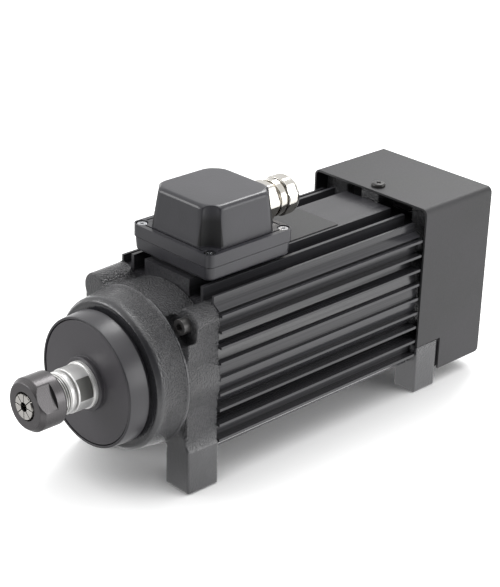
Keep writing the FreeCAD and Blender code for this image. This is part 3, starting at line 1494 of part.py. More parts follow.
def plate():
    """Bare plate on the flat top behind the terminal box."""
    body = newPiece("name_plate")
    front = boxBack + s.lidOverhang + s.plateGap
    prism(body, "XY_Plane", plateauTop, plateauTop + s.plateThickness, lambda k: box(
        k, -s.plateHalf, s.plateHalf, front, front + s.plateLength))
    return body


def waveSpring():
    body = onAxis("wave_spring")
    tube(body, s.rearBearingRadius - s.rearRingGap + 0.8, s.rearBearingRadius - 0.2,
         rearBearingBack, rearBearingBack + s.springWidth)
    return body


def spacers():
    middle = (s.frontShaftRadius + s.frontBearingRadius) / 2
    front = firstBearing + s.frontBearingWidth
    outer = onAxis("outer_spacer")
    tube(outer, middle + s.ringGap / 2 + 0.5, s.frontBearingRadius, front, secondBearing)
    inner = onAxis("inner_spacer")
    tube(inner, s.frontShaftRadius, middle - s.ringGap / 2 - 0.5, front, secondBearing)


def bearingLocknut():
    body = onAxis("bearing_locknut")
    tube(body, s.frontShaftRadius, s.nutRingRadius, locknutFront, firstBearing)
    notch = prism(body, "XZ_Plane", locknutFront, firstBearing, lambda k: box(
        k, s.nutRingRadius - s.nutNotchDepth, s.nutRingRadius + 2.0,
        -s.nutNotchHalf, s.nutNotchHalf), cut=True)
    around(body, notch, 4)
    return body


def buildAll():
    statorHousing()
    frontShield()
    rearShield()
    bearingCover()
    coverScrews()
    reach = tieReach
    socketScrews("front_shield_screws", [(reach, reach), (-reach, -reach)],
                 screwSeat, s.housingFront + s.tieGrip, -1.0)
    socketScrews("rear_shield_screws", quarters(reach), rearShieldBack,
                 housingBack - s.tieGrip, 1.0)
    statorCore()
    windings()
    pair = (firstBearing, secondBearing)
    single = (rearBearingFront,)
    bearingRings("front_outer_rings", "front", "outer", pair, s.frontBearingWidth)
    bearingRings("rear_outer_ring", "rear", "outer", single, s.rearBearingWidth)
    waveSpring()
    spacers()
    fanHood()
    hoodGrille()
    hoodScrew()
    boxPad()
    boxBase()
    lidSeal()
    boxLid()
    lidScrews()
    boxScrews()
    terminalBlock()
    terminalStuds()
    glandBody()
    glandSeal()
    glandLocknut()
    glandCap()
    glandInsert()
    plate()
    spindleShaft()
    rotorCore()
    rotorEndRings()
    bearingRings("front_inner_rings", "front", "inner", pair, s.frontBearingWidth)
    bearingRings("rear_inner_ring", "rear", "inner", single, s.rearBearingWidth)
    bearingLocknut()
    labyrinthDisc()
    fanWheel()
    fanRing()
    bearingCage("front_bearing_cages", "front", pair, s.frontBearingWidth, s.frontBallCount)
    bearingBalls("front_bearing_balls", "front", pair, s.frontBearingWidth, s.frontBallCount)
    bearingCage("rear_bearing_cage", "rear", single, s.rearBearingWidth, s.rearBallCount)
    bearingBalls("rear_bearing_balls", "rear", single, s.rearBearingWidth, s.rearBallCount)
    collet()
    clampingNut()
    extractorRing()


def checkAndWrite():
    doc.recompute()
    for thing in doc.Objects:
        if "Invalid" in thing.State or "Error" in thing.State:
            raise RuntimeError("%s (%s) failed: %s" % (thing.Name, thing.Label, thing.State))
        if thing.TypeId in ("PartDesign::Pocket", "PartDesign::Groove"):
            before = thing.BaseFeature
            if before is not None and thing.Shape.Volume > before.Shape.Volume - 1e-6:
                raise RuntimeError("%s cuts nothing" % thing.Name)
    os.makedirs("parts", exist_ok=True)
    for body in pieces:
        shape = body.Shape
        if shape.isNull() or not shape.isValid():
            raise RuntimeError("bad shape: " + body.Label)
        shape.exportStep("parts/%s.step" % body.Label)
        print("%-24s solids %3d volume %10.1f" % (body.Label, len(shape.Solids), shape.Volume))


buildAll()
checkAndWrite()
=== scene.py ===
import json
import math

import bmesh
import bpy
import numpy as np
from mathutils import Matrix, Vector


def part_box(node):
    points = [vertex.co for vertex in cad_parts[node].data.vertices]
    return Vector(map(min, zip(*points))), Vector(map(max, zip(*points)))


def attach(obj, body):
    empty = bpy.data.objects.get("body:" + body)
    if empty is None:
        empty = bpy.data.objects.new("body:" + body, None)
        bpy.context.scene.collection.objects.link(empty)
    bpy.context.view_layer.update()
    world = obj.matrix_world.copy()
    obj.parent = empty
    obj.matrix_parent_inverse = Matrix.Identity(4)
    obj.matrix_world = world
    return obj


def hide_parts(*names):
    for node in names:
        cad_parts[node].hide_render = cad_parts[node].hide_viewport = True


# Looks of the spindle motor. Metres, Z up, the spindle along Y with its nose towards -Y.
# The dictionaries beside the pieces hold millimetres and degrees, and are what a user changes.

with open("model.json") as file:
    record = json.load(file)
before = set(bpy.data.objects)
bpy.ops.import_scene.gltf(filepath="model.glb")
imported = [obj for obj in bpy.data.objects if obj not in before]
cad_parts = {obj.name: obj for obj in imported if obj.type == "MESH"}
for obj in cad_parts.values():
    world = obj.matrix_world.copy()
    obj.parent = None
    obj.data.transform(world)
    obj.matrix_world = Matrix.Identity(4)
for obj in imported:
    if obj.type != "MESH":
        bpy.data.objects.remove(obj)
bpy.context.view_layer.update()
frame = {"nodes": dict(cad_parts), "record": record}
nodes = frame["nodes"]
bodyOf = {n: b for b, ns in frame["record"]["behaviour"]["bodies"].items() for n in ns}
slotOf = {p["node"]: p["material_slot"] for p in frame["record"]["subparts"]}
mm = 0.001
print("frame loaded:", len(nodes), "nodes")


def middleZ(nodeName):
    low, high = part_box(nodeName)
    return low.z / 2 + high.z / 2


def spanY(nodeName):  # first and last place along Y, in mm
    low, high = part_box(nodeName)
    return low.y / mm, high.y / mm


def reachX(nodeName):  # in mm
    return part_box(nodeName)[1].x / mm


axisZ = middleZ("clamping_nut")
glandZ = middleZ("gland_body")

# Sizes of the cast nose, the lid and the shaft, before the finishes because these use them too

nose = {"length": 21.5, "edge": 2.2, "edgeRadius": 48.7, "proud": 0.05, "bead": 1.7, "beadRise": 0.75,
        "step": 1.4, "tuck": 1.2, "seat": 45.0, "turns": 288}
lid = {"rim": 8.0, "inset": 4.6, "fluteInset": 2.9, "draft": 7.0, "corner": 12.6, "cornerShrink": 0.12,
       "cornerThin": 0.5, "cornerLeast": 4.0, "flute": 11.2, "lean": 0.092, "blend": 0.6, "edge": 3.4,
       "edgeThin": 0.6, "foot": 1.2, "wall": 2.5, "denseFrom": 6.6, "rows": (8, 18, 16),
       "topRings": (0.9, 0.6, 0.3, 0.0), "turns": 720, "crease": 50, "rimCut": 0.03, "rimEdge": 0.7,
       "rimCrease": 35, "bossLength": 7.0, "bossBore": 10.0, "bossEdge": 0.8, "bossTurns": 160}
shaft = {"ring": 13.5, "ringLength": 3.0, "flange": 15.0, "flangeLength": 2.2, "collar": 14.1,
         "collarLength": 14.0, "relief": 12.2, "reliefLength": 1.3, "thread": 12.9, "threadStep": 0.15,
         "threadUnder": 4.0, "threadLeast": 12.0, "pitch": 1.5, "cut": 0.6, "flat": 12.2,
         "flatLength": 9.8, "flatSet": 2.9, "flatTurn": 20.0, "tip": 0.8, "mouth": 10.55,
         "taperEnd": 5.54, "taperLength": 36.0, "boreLength": 39.0, "tail": 7.0, "tailEdge": 0.8,
         "tailSet": 2.4, "rearSeat": 8.5, "rear": 11.0, "core": 15.5, "shoulder": 19.0,
         "shoulderLength": 8.0, "frontSeat": 15.0}


def flatSpan():  # the spanner flats along Y, in mm
    back = spanY("labyrinth_disc")[0] - shaft["flatSet"]
    return back - shaft["flatLength"], back


# Shader maths as Python expressions

class Value:  # one shader socket that takes part in sums
    def __init__(self, graph, socket):
        self.graph = graph
        self.socket = socket

    def math(self, operation, *others):
        return self.graph.add("Math", {"operation": operation}, [self, *others])

    def __add__(self, other):
        return self.math("ADD", other)

    def __sub__(self, other):
        return self.math("SUBTRACT", other)

    def __mul__(self, other):
        return self.math("MULTIPLY", other)

    def __pow__(self, other):
        return self.math("POWER", other)

    def __rsub__(self, other):
        return self.graph.add("Math", {"operation": "SUBTRACT"}, [other, self])

    __radd__ = __add__
    __rmul__ = __mul__

    def between(self, low, high):  # 0 at low, 1 at high, smooth between
        return self.graph.add("MapRange", {"interpolation_type": "SMOOTHSTEP"},
                              {"Value": self, "From Min": low, "From Max": high}, "Result")

    def swing(self, amount):  # from minus half the amount to plus half of it
        return (self - 0.5) * amount


class Graph:  # a node tree and the one method that adds to it
    def __init__(self, tree):
        self.tree = tree

    def add(self, kind, settings=None, inputs=None, out=0):
        node = self.tree.nodes.new("ShaderNode" + kind)
        for name, value in (settings or {}).items():
            setattr(node, name, value)
        pairs = inputs.items() if isinstance(inputs, dict) else enumerate(inputs or [])
        for key, value in pairs:
            self.feed(node.inputs[key], value)
        return Value(self, node.outputs[out])

    def feed(self, socket, value):
        if isinstance(value, Value):
            self.tree.links.new(value.socket, socket)
        else:
            socket.default_value = value

    def mix(self, mask, first, second):  # each end is a colour or a socket
        ends = [end if isinstance(end, Value) else (*end, 1) for end in (first, second)]
        return self.add("Mix", {"data_type": "RGBA"}, {0: mask, 6: ends[0], 7: ends[1]}, 2)

    def cameraRay(self):
        return self.add("LightPath", {}, {}, "Is Camera Ray")


class Finish(Graph):  # a material whose shader takes the values that set and bump give it
    inputNames = {"colour": "Base Color", "rough": "Roughness", "metal": "Metallic",
                  "shine": "Specular IOR Level", "glow": "Emission Color",
                  "glowStrength": "Emission Strength"}

    def __init__(self, name):
        self.material = bpy.data.materials.new(name)
        self.material.use_nodes = True
        super().__init__(self.material.node_tree)
        self.shader = self.tree.nodes["Principled BSDF"]

    def place(self):
        return self.add("TexCoord", {}, {}, "Object")

    def parts(self):  # x, y, z of the point
        outs = self.add("SeparateXYZ", {}, [self.place()]).socket.node.outputs
        return [Value(self, outs[i]) for i in range(3)]

    def fromAxis(self, x, z):  # distance from the spindle axis
        up = z - axisZ
        return (x * x + up * up) ** 0.5

    def stretched(self, across, along):
        return self.add("Mapping", {}, {"Vector": self.place(), "Scale": (across, along, across)})

    def noise(self, scale, detail=3.0, roughness=0.55, where=None):
        return self.add("TexNoise", {}, {"Vector": where or self.place(), "Scale": scale,
                                         "Detail": detail, "Roughness": roughness}, "Fac")

    def stripes(self, along, detail):  # noise in one direction only
        return self.add("TexNoise", {"noise_dimensions": "1D"},
                        {"W": along, "Scale": 1.0, "Detail": detail}, "Fac")

    def bump(self, height, distance):
        self.feed(self.shader.inputs["Normal"],
                  self.add("Bump", {}, {"Height": height, "Distance": distance, "Strength": 1.0}))

    def colourSoFar(self):
        return Value(self, self.shader.inputs["Base Color"].links[0].from_socket)

    def set(self, **values):
        for key, value in values.items():
            if isinstance(value, tuple):
                value = (*value, 1)
            self.feed(self.shader.inputs[self.inputNames[key]], value)
        return self


driftSpan = (0.3, 0.7)  # the part of a noise that runs from the dark to the light tone

grain = {"span": (0.25, 0.75), "fineRatio": 2.7, "fineShare": 0.4, "fineGloss": 0.22, "drift": 38,
         "driftGloss": 0.12, "shine": 0.85, "smoothShare": 0.12, "beadSpan": (0.9, 0.3),
         "beadShare": 0.85, "edgeSpan": (2.0, 9.0), "footSpan": (26.0, 42.0)}


# Paint over a sand casting: coarse grains, a finer skin on them and slow drifts of tone. The
# turned front edge, the bead and the lower part of the feet are smoother than the rest.
def castPaint(name, dark, light, scale, depth, rough):
    f = Finish(name)
    x, y, z = f.parts()
    radius = f.fromAxis(x, z)
    coarse = f.noise(scale, 2.0, 0.5)
    fine = f.noise(scale * grain["fineRatio"], 2.0, 0.6)
    drift = f.noise(grain["drift"], 2.0)
    front = spanY("front_shield")[0]
    top = reachX("front_shield")
    beadEnd = front + nose["length"]
    bead = radius.between(*[(top - down) * mm for down in grain["beadSpan"]])
    bead = bead * (1 - y.between(beadEnd * mm, (beadEnd + 1.0) * mm))
    raw = y.between(*[(front + behind) * mm for behind in grain["edgeSpan"]])
    raw = raw * z.between(*[up * mm for up in grain["footSpan"]]) * (1 - bead * grain["beadShare"])
    f.set(colour=f.mix(drift.between(*driftSpan), dark, light), metal=0.0, shine=grain["shine"],
          rough=rough + fine.swing(grain["fineGloss"]) + drift.swing(grain["driftGloss"]))
    f.bump((coarse.between(*grain["span"]) + fine * grain["fineShare"])
           * (grain["smoothShare"] + raw * (1 - grain["smoothShare"])), depth)
    return f


dieLines = {"across": 900, "along": 5, "span": (0.35, 0.7), "gloss": 0.08, "depth": 0.000025,
            "driftAcross": 60, "driftAlong": 9, "driftGloss": 0.12}


# Anodised extrusion: die lines along Y in gloss and tone
def drawnAluminium(name, dark, light, rough):
    f = Finish(name)
    lines = f.noise(1.0, 3.0, 0.6, f.stretched(dieLines["across"], dieLines["along"]))
    drift = f.noise(1.0, 2.0, 0.5, f.stretched(dieLines["driftAcross"], dieLines["driftAlong"]))
    f.set(colour=f.mix(lines.between(*dieLines["span"]), dark, light), metal=0.0,
          rough=rough + lines.swing(dieLines["gloss"]) + drift.swing(dieLines["driftGloss"]))
    f.bump(lines, dieLines["depth"])
    return f


toolRings = {"pitch": 5200.0, "span": (0.3, 0.75), "gloss": 0.14, "depth": 0.00001,
             "drift": 90, "driftGloss": 0.08}


# Turned about the spindle axis: fine rings by radius and by length, and slow drifts
def turnedMetal(name, dark, light, metal, rough):
    f = Finish(name)
    x, y, z = f.parts()
    rings = f.stripes((f.fromAxis(x, z) + y) * toolRings["pitch"], 2.0)
    drift = f.noise(toolRings["drift"], 2.0)
    f.set(colour=f.mix(rings.between(*toolRings["span"]), dark, light), metal=metal,
          rough=rough + rings.swing(toolRings["gloss"]) + drift.swing(toolRings["driftGloss"]))
    f.bump(rings, toolRings["depth"])
    return f


# Tones and spans of the painted dark reflection on the flats and the painted shade in the grooves
shaftShading = {"flatReflectionTone": (0.22, 0.22, 0.21), "flatSpan": (0.22, 0.08), "fade": 0.1,
              "grooveShadeTone": (0.05, 0.047, 0.043), "grooveSpan": 0.15, "grooveEnd": (1.8, 1.4)}


# Ground shaft, with a painted dark reflection on its spanner flats and painted shade in its grooves
def groundShaft(name, dark, light, metal, rough):
    f = turnedMetal(name, dark, light, metal, rough)
    x, y, z = f.parts()
    radius = f.fromAxis(x, z)
    front, back = flatSpan()
    fade = shaftShading["fade"]
    # painted dark reflection: the colour is darkened over the spanner flats
    flatReflectionMask = 1 - radius.between(*[(shaft["collar"] - under) * mm for under in shaftShading["flatSpan"]])
    flatReflectionMask = flatReflectionMask * y.between((front - fade) * mm, front * mm)
    flatReflectionMask = flatReflectionMask * (1 - y.between(back * mm, (back + fade) * mm))
    flatsReflected = f.mix(flatReflectionMask, f.colourSoFar(), shaftShading["flatReflectionTone"])
    # painted shade: the colour is darkened nearer the axis than the relief groove's wall, in front of the
    # flats
    groove = 1 - radius.between((shaft["relief"] + shaftShading["grooveSpan"]) * mm,
                                (shaft["thread"] - shaftShading["grooveSpan"]) * mm)
    groove = groove * (1 - y.between(*[(front - before) * mm for before in shaftShading["grooveEnd"]]))
    f.set(colour=f.mix(groove, flatsReflected, shaftShading["grooveShadeTone"]))
    return f


coat = {"skinGloss": 0.16, "drift": 22, "driftGloss": 0.1}


# Powder coat, plastic or plating: a fine skin and a slow change of tone
def plainCoat(name, dark, light, rough, scale=900.0, depth=0.00008, metal=0.0):
    f = Finish(name)
    skin = f.noise(scale, 2.0, 0.6)
    drift = f.noise(coat["drift"], 3.0)
    f.set(colour=f.mix(drift.between(*driftSpan), dark, light), metal=metal,
          rough=rough + skin.swing(coat["skinGloss"]) + drift.swing(coat["driftGloss"]))
    f.bump(skin, depth)
    return f


fluteShade = {"tone": (0.007, 0.007, 0.008), "dull": 0.4, "at": 13, "span": (0.3, 1.2),
              "rimSpan": (0.3, 1.5)}


# Box paint, with painted shade in the four flutes of the lid: darker and duller there, where no light
# reaches
def boxPaint(name, dark, light, rough, scale, depth):
    f = plainCoat(name, dark, light, rough, scale, depth)
    x, y, z = f.parts()
    low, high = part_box("terminal_box_lid")
    centre = (high.x / mm - lid["fluteInset"] - lid["lean"] * fluteShade["at"]) * mm
    across = x.math("ABSOLUTE") - centre
    along = (y - (low.y + high.y) / 2).math("ABSOLUTE") - centre
    reach = (across * across + along * along) ** 0.5
    inside = 1 - reach.between(*[(lid["flute"] + past) * mm for past in fluteShade["span"]])
    inside = inside * z.between(*[low.z + (lid["rim"] + above) * mm for above in fluteShade["rimSpan"]])
    # painted shade: the paint is darkened and dulled inside the flutes
    f.set(colour=f.mix(inside, f.colourSoFar(), fluteShade["tone"]),
          rough=rough + inside * fluteShade["dull"])
    return f


wire = {"across": 260, "along": 1500, "gloss": 0.3, "depth": 0.0003, "drift": 70}


# Enamelled wire: ridges round the axis, varnish tone drifting along
def woundCopper(name, dark, light, metal, rough):
    f = Finish(name)
    ridges = f.noise(1.0, 1.0, 0.5, f.stretched(wire["across"], wire["along"]))
    drift = f.noise(wire["drift"], 2.0)
    f.set(colour=f.mix(drift.between(*driftSpan), dark, light), metal=metal,
          rough=rough + ridges.swing(wire["gloss"]))
    f.bump(ridges, wire["depth"])
    return f


stack = {"perMetre": 2000.0, "depth": 0.00008, "drift": 60, "driftGloss": 0.2}


# Lamination stack: half-millimetre sheets seen on edge along Y
def stackedSheet(name, dark, light, metal, rough):
    f = Finish(name)
    edges = f.stripes(f.parts()[1] * stack["perMetre"], 0.0)
    drift = f.noise(stack["drift"], 3.0)
    f.set(colour=f.mix(edges.between(*driftSpan), dark, light), metal=metal,
          rough=rough + drift.swing(stack["driftGloss"]))
    f.bump(edges, stack["depth"])
    return f


# Each slot's kind of finish, material name, dark and light tone, and further settings

looks = {
    "cast_painted": (castPaint, "castPaint", (0.023, 0.023, 0.026), (0.036, 0.036, 0.040),
                     {"scale": 860, "depth": 0.0007, "rough": 0.19}),
    "body_anodised": (drawnAluminium, "anodisedBody", (0.030, 0.030, 0.033), (0.046, 0.045, 0.050),
                      {"rough": 0.22}),
    "hood_painted": (plainCoat, "hoodPaint", (0.022, 0.022, 0.023), (0.031, 0.030, 0.033),
                     {"rough": 0.58}),
    "box_cast": (boxPaint, "boxPaint", (0.030, 0.030, 0.035), (0.042, 0.041, 0.048),
                 {"rough": 0.28, "scale": 700, "depth": 0.00005}),
    "cover_black": (turnedMetal, "coverBlack", (0.030, 0.029, 0.033), (0.046, 0.044, 0.050),
                    {"metal": 0.0, "rough": 0.32}),
    "disc_black": (turnedMetal, "discBlack", (0.050, 0.047, 0.053), (0.070, 0.066, 0.073),
                   {"metal": 0.0, "rough": 0.36}),
    "steel_ground": (groundShaft, "groundSteel", (0.80, 0.79, 0.78), (0.97, 0.97, 0.96),
                     {"metal": 0.62, "rough": 0.34}),
    "steel_nut": (turnedMetal, "nutSteel", (0.082, 0.078, 0.079), (0.135, 0.129, 0.134),
                  {"metal": 0.75, "rough": 0.30}),
    "steel_spring": (turnedMetal, "colletSteel", (0.52, 0.50, 0.47), (0.74, 0.72, 0.69),
                     {"metal": 1.0, "rough": 0.22}),
    "steel_bearing": (turnedMetal, "bearingSteel", (0.62, 0.62, 0.63), (0.80, 0.80, 0.81),
                      {"metal": 1.0, "rough": 0.12}),
    "steel_zinc": (plainCoat, "zincSteel", (0.50, 0.51, 0.53), (0.68, 0.68, 0.70),
                   {"rough": 0.26, "scale": 1500, "depth": 0.00003, "metal": 1.0}),
    "steel_black": (plainCoat, "blackSteel", (0.035, 0.034, 0.034), (0.060, 0.058, 0.057),
                    {"rough": 0.30, "scale": 1500, "depth": 0.00003, "metal": 0.4}),
    "laminations": (stackedSheet, "sheetStack", (0.10, 0.105, 0.12), (0.24, 0.245, 0.26),
                    {"metal": 0.7, "rough": 0.45}),
    "copper_wire": (woundCopper, "copperWire", (0.42, 0.13, 0.045), (0.62, 0.25, 0.10),
                    {"metal": 0.6, "rough": 0.32}),
    "nickel_brass": (plainCoat, "nickelPlate", (0.50, 0.47, 0.42), (0.66, 0.64, 0.60),
                     {"rough": 0.15, "scale": 1400, "depth": 0.00002, "metal": 1.0}),
    "rubber_black": (plainCoat, "blackRubber", (0.018, 0.018, 0.018), (0.028, 0.028, 0.028),
                     {"rough": 0.62, "scale": 1100, "depth": 0.0001}),
    "plastic_black": (plainCoat, "blackPlastic", (0.030, 0.030, 0.032), (0.042, 0.042, 0.045),
                      {"rough": 0.42}),
    "plastic_cage": (plainCoat, "resinCage", (0.30, 0.17, 0.06), (0.42, 0.26, 0.10),
                     {"rough": 0.5, "depth": 0.0001}),
    "plate_metal": (plainCoat, "plateMetal", (0.018, 0.018, 0.0185), (0.024, 0.024, 0.0245),
                    {"rough": 0.58, "scale": 1200, "depth": 0.00003}),
    "rotor_cast": (plainCoat, "castAluminium", (0.52, 0.53, 0.54), (0.66, 0.67, 0.68),
                   {"rough": 0.4, "depth": 0.0002, "metal": 1.0})}
finishes = {slot: kind(name, dark, light, **more)
            for slot, (kind, name, dark, light, more) in looks.items()}
for nodeName, node in nodes.items():
    node.data.materials.clear()
    node.data.materials.append(finishes[slotOf[nodeName]].material)
print("finishes:", len(finishes))


# Mesh helpers

def placed(name, data):  # a new object in the scene
    piece = bpy.data.objects.new(name, data)
    bpy.context.scene.collection.objects.link(piece)
    return piece


# Gives a finished piece its node's finish and body, and hides the node
def adopt(piece, nodeName):
    piece.data.materials.clear()
    piece.data.materials.append(finishes[slotOf[nodeName]].material)
    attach(piece, bodyOf[nodeName])
    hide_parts(nodeName)


def newObject(name, verts, faces):
    mesh = bpy.data.meshes.new(name)
    mesh.from_pydata(verts, [], faces)
    mesh.validate()
    return placed(name, mesh)


def smooth(piece, angle=30.0):
    piece.data.polygons.foreach_set("use_smooth", [True] * len(piece.data.polygons))
    piece.data.set_sharp_from_angle(angle=math.radians(angle))


def bevel(piece, width, segments=2, angle=30.0):
    edge = piece.modifiers.new("edges", "BEVEL")
    edge.width = width * mm
    edge.segments = segments
    edge.limit_method = "ANGLE"
    edge.angle_limit = math.radians(angle)
    edge.harden_normals = True
    edge.use_clamp_overlap = True


merging = {"distance": 2e-6, "flatness": 0.4, "touching": 1e-7}  # metres, degrees, metres


# A node's triangles joined into one skin, with its flat faces made whole
def mergedCopy(nodeName, name):
    work = bmesh.new()
    work.from_mesh(nodes[nodeName].data)
    bmesh.ops.remove_doubles(work, verts=work.verts, dist=merging["distance"])
    bmesh.ops.dissolve_limit(work, angle_limit=math.radians(merging["flatness"]),
                             verts=work.verts, edges=work.edges)
    mesh = bpy.data.meshes.new(name)
    work.to_mesh(mesh)
    work.free()
    return placed(name, mesh)


def edited(piece, change):  # change(work) alters the piece's mesh
    work = bmesh.new()
    work.from_mesh(piece.data)
    change(work)
    work.to_mesh(piece.data)
    work.free()


# A node with its sharp edges broken, as machining and paint leave them
def broken(nodeName, width):
    piece = mergedCopy(nodeName, nodeName + ".edged")
    smooth(piece)
    bevel(piece, width)
    adopt(piece, nodeName)


# Moves a copy's points to or from the axis: factor(y, radius), both in mm, is each point's scale
def scaleAboutAxis(piece, factor):
    points = np.empty(len(piece.data.vertices) * 3)
    piece.data.vertices.foreach_get("co", points)
    points = points.reshape(-1, 3)
    up = points[:, 2] - axisZ
    scale = factor(points[:, 1] / mm, np.maximum(np.hypot(points[:, 0], up) / mm, 1.0))
    points[:, 0] *= scale
    points[:, 2] = axisZ + up * scale
    piece.data.vertices.foreach_set("co", points.ravel())


# Adds a closed box between two corners in mm, so that a skin laid over the copy takes it in
def addBox(piece, low, high):
    middle = [(a + b) / 2 * mm for a, b in zip(low, high)]
    size = [(b - a) * mm for a, b in zip(low, high)]
    place = Matrix.Translation(middle) @ Matrix.Diagonal((*size, 1.0))
    edited(piece, lambda work: bmesh.ops.create_cube(work, size=1.0, matrix=place))


cutShare = 0.45  # the longest part of a side that a rounding may take


# Corners (radius, y, rounding) to a line whose corners are short curves of the second degree
def roundedLine(corners, steps):
    table = np.array(corners, float)
    points = table[:, :2]
    line = []
    for i, here in enumerate(points):
        toBefore, toAfter = points[i - 1] - here, points[(i + 1) % len(points)] - here
        if table[i, 2] <= 0:
            line.append(here[None])
            continue
        cut = min(table[i, 2], cutShare * np.hypot(*toBefore), cutShare * np.hypot(*toAfter))
        start = here + toBefore / np.hypot(*toBefore) * cut
        stop = here + toAfter / np.hypot(*toAfter) * cut
        t = np.linspace(0, 1, steps + 1)[:, None]
        line.append((1 - t) ** 2 * start + 2 * t * (1 - t) * here + t ** 2 * stop)
    return np.concatenate(line)


# Four-sided faces of a grid that is closed both ways
def ringFaces(turns, count):
    i, j = np.meshgrid(np.arange(turns), np.arange(count), indexing="ij")
    nextI, nextJ = (i + 1) % turns, (j + 1) % count
    return np.stack([i * count + j, nextI * count + j, nextI * count + nextJ, i * count + nextJ],
                    -1).reshape(-1, 4).tolist()


# A closed profile of radius and y carried round the axis. shape(angle, radius, y), in metres,
# may change the radius at each angle. Points are x = r sin a, z = centre + r cos a.
def turnedPiece(name, corners, turns=192, shape=None, centreZ=axisZ, steps=5):
    line = roundedLine(np.array(corners) * mm, steps)
    angle = np.arange(turns) * 2 * np.pi / turns
    a = np.repeat(angle[:, None], len(line), 1)
    r = np.repeat(line[None, :, 0], turns, 0)
    y = np.repeat(line[None, :, 1], turns, 0)
    if shape is not None:
        r = shape(a, r, y)
    verts = np.stack([r * np.sin(a), y, centreZ + r * np.cos(a)], -1).reshape(-1, 3)
    piece = newObject(name, verts.tolist(), ringFaces(turns, len(line)))
    closeSkin(piece)
    smooth(piece)
    return piece


# Joins the points that meet on the axis and turns the faces outwards
def closeSkin(piece):
    def close(work):
        bmesh.ops.remove_doubles(work, verts=work.verts, dist=merging["touching"])
        bmesh.ops.dissolve_degenerate(work, dist=merging["touching"], edges=work.edges)
        bmesh.ops.recalc_face_normals(work, faces=work.faces)
    edited(piece, close)


# A shape that holds the radius inside a number of flats at this reach, between two places
# along y. The first flat faces the angle start.
def flats(reach, first, last, count, start=0.0):
    def shape(a, r, y):
        step = 2 * np.pi / count
        off = (a - math.radians(start) + step / 2) % step - step / 2
        inside = (y >= first * mm) & (y <= last * mm)
        return np.where(inside, np.minimum(r, reach * mm / np.cos(off)), r)
    return shape


# Camera at the photograph's angle

camera = {"place": (0.72781, -0.73803, 0.55680),
          "right": (0.69328613, 0.72005516, 0.02957881),
          "up": (-0.31764072, 0.26847479, 0.90940951),
          "back": (0.64688385, -0.63987643, 0.41484869),
          "lens": 106.34, "sensor": 36.0, "far": 30.0}
cameraData = bpy.data.cameras.new("camera")
cameraData.lens = camera["lens"]
cameraData.sensor_width = camera["sensor"]
cameraData.clip_end = camera["far"]
cameraObject = placed("camera", cameraData)
turn = Matrix([camera["right"], camera["up"], camera["back"]]).transposed()
cameraObject.matrix_world = Matrix.Translation(camera["place"]) @ turn.to_4x4()
bpy.context.scene.camera = cameraObject


# Floor, light and world, in metres. Each lamp has a place, an aim, a size and a power.

studio = {"over": ((-0.42, 0.85, 1.15), (0, -0.10, 0.08), (0.45, 0.9), 11.0),
          "top": ((0.2, -0.1, 1.7), (0, 0, 0.05), (1.6, 1.6), 7.0),
          "left": ((-1.35, -1.45, 0.75), (0, -0.10, 0.10), (1.2, 0.9), 14.0),
          "right": ((1.5, 0.9, 0.5), (0, 0.05, 0.08), (1.2, 0.9), 10.0)}


def softLight(name, place, aim, size, power):
    data = bpy.data.lights.new(name, "AREA")
    data.shape = "RECTANGLE"
    data.size, data.size_y = size
    data.energy = power
    lamp = placed(name, data)
    lamp.location = place
    lamp.rotation_euler = (Vector(aim) - Vector(place)).to_track_quat("-Z", "Y").to_euler()


for lampName, settings in studio.items():
    softLight(lampName, *settings)

paper = {"half": 9.0, "drop": 0.0005, "tone": 0.86, "hiddenTone": 0.35, "rough": 0.9, "glow": 0.42,
         "shadowReach": 0.09, "shadowSpan": (0.15, 0.9), "bright": 1.15, "card": 0.05,
         "rightCard": ((0.06, 0.22), (0.14, 0.32)), "leftCard": ((0.02, 0.12), (0.04, 0.18)),
         "leftShare": 0.85}


def grey(level):
    return level, level, level


# White paper to the camera, with a painted shadow where the object stands close over it: there its
# glow fades and it turns grey. To the object it is bright at both sides and dark in front, as with a
# black card laid before it, so that satin faces get light and dark bands.
def paperFinish():
    f = Finish("floorPaper")
    x, y, z = f.parts()
    forward = y * -1.0
    rightX, rightY = paper["rightCard"]
    leftX, leftY = paper["leftCard"]
    card = x.between(*rightX) * forward.between(*rightY)
    card = card + (1 - x.between(*leftX)) * forward.between(*leftY) * paper["leftShare"]
    seen = f.cameraRay()
    # painted shadow: the paper's glow to the camera fades where ambient occlusion finds the object close
    openness = f.add("AmbientOcclusion", {"samples": 8}, {"Distance": paper["shadowReach"]}, "AO")
    glowUnderPaintedShadow = f.mix(openness.between(*paper["shadowSpan"]), grey(0.0), grey(paper["glow"]))
    given = f.mix(card, grey(paper["bright"]), grey(paper["card"]))
    f.set(colour=f.mix(seen, grey(paper["hiddenTone"]), grey(paper["tone"])), rough=paper["rough"],
          metal=0.0, glowStrength=1.0, glow=f.mix(seen, given, glowUnderPaintedShadow))
    return f.material


def paperFloor():
    half, level = paper["half"], -paper["drop"]
    corners = [(-half, -half, level), (half, -half, level), (half, half, level), (-half, half, level)]
    floor = newObject("floor", corners, [(0, 1, 2, 3)])
    floor.data.materials.append(paperFinish())


sky = {"towards": (0.707, -0.707, 0.0), "span": (0.15, 0.75), "dark": 0.08}


# White to the camera. To the object the sky is bright, and dark on the camera's side.
def studioWorld():
    world = bpy.data.worlds.new("studio")
    world.use_nodes = True
    g = Graph(world.node_tree)
    direction = g.add("TexCoord", {}, {}, "Generated")
    facing = g.add("VectorMath", {"operation": "DOT_PRODUCT"}, [direction, sky["towards"]], "Value")
    given = g.mix(facing.between(*sky["span"]), grey(1.0), grey(sky["dark"]))
    g.feed(world.node_tree.nodes["Background"].inputs["Color"], g.mix(g.cameraRay(), given, grey(1.0)))
    bpy.context.scene.world = world


paperFloor()
studioWorld()
bpy.context.scene.view_settings.view_transform = "Standard"
print("camera and light set")


# Castings

casting = {"voxel": 0.62, "passes": 4, "softness": 0.5, "kept": 0.42, "under": 0.8, "underFrom": 44.5,
           "margin": 0.1}


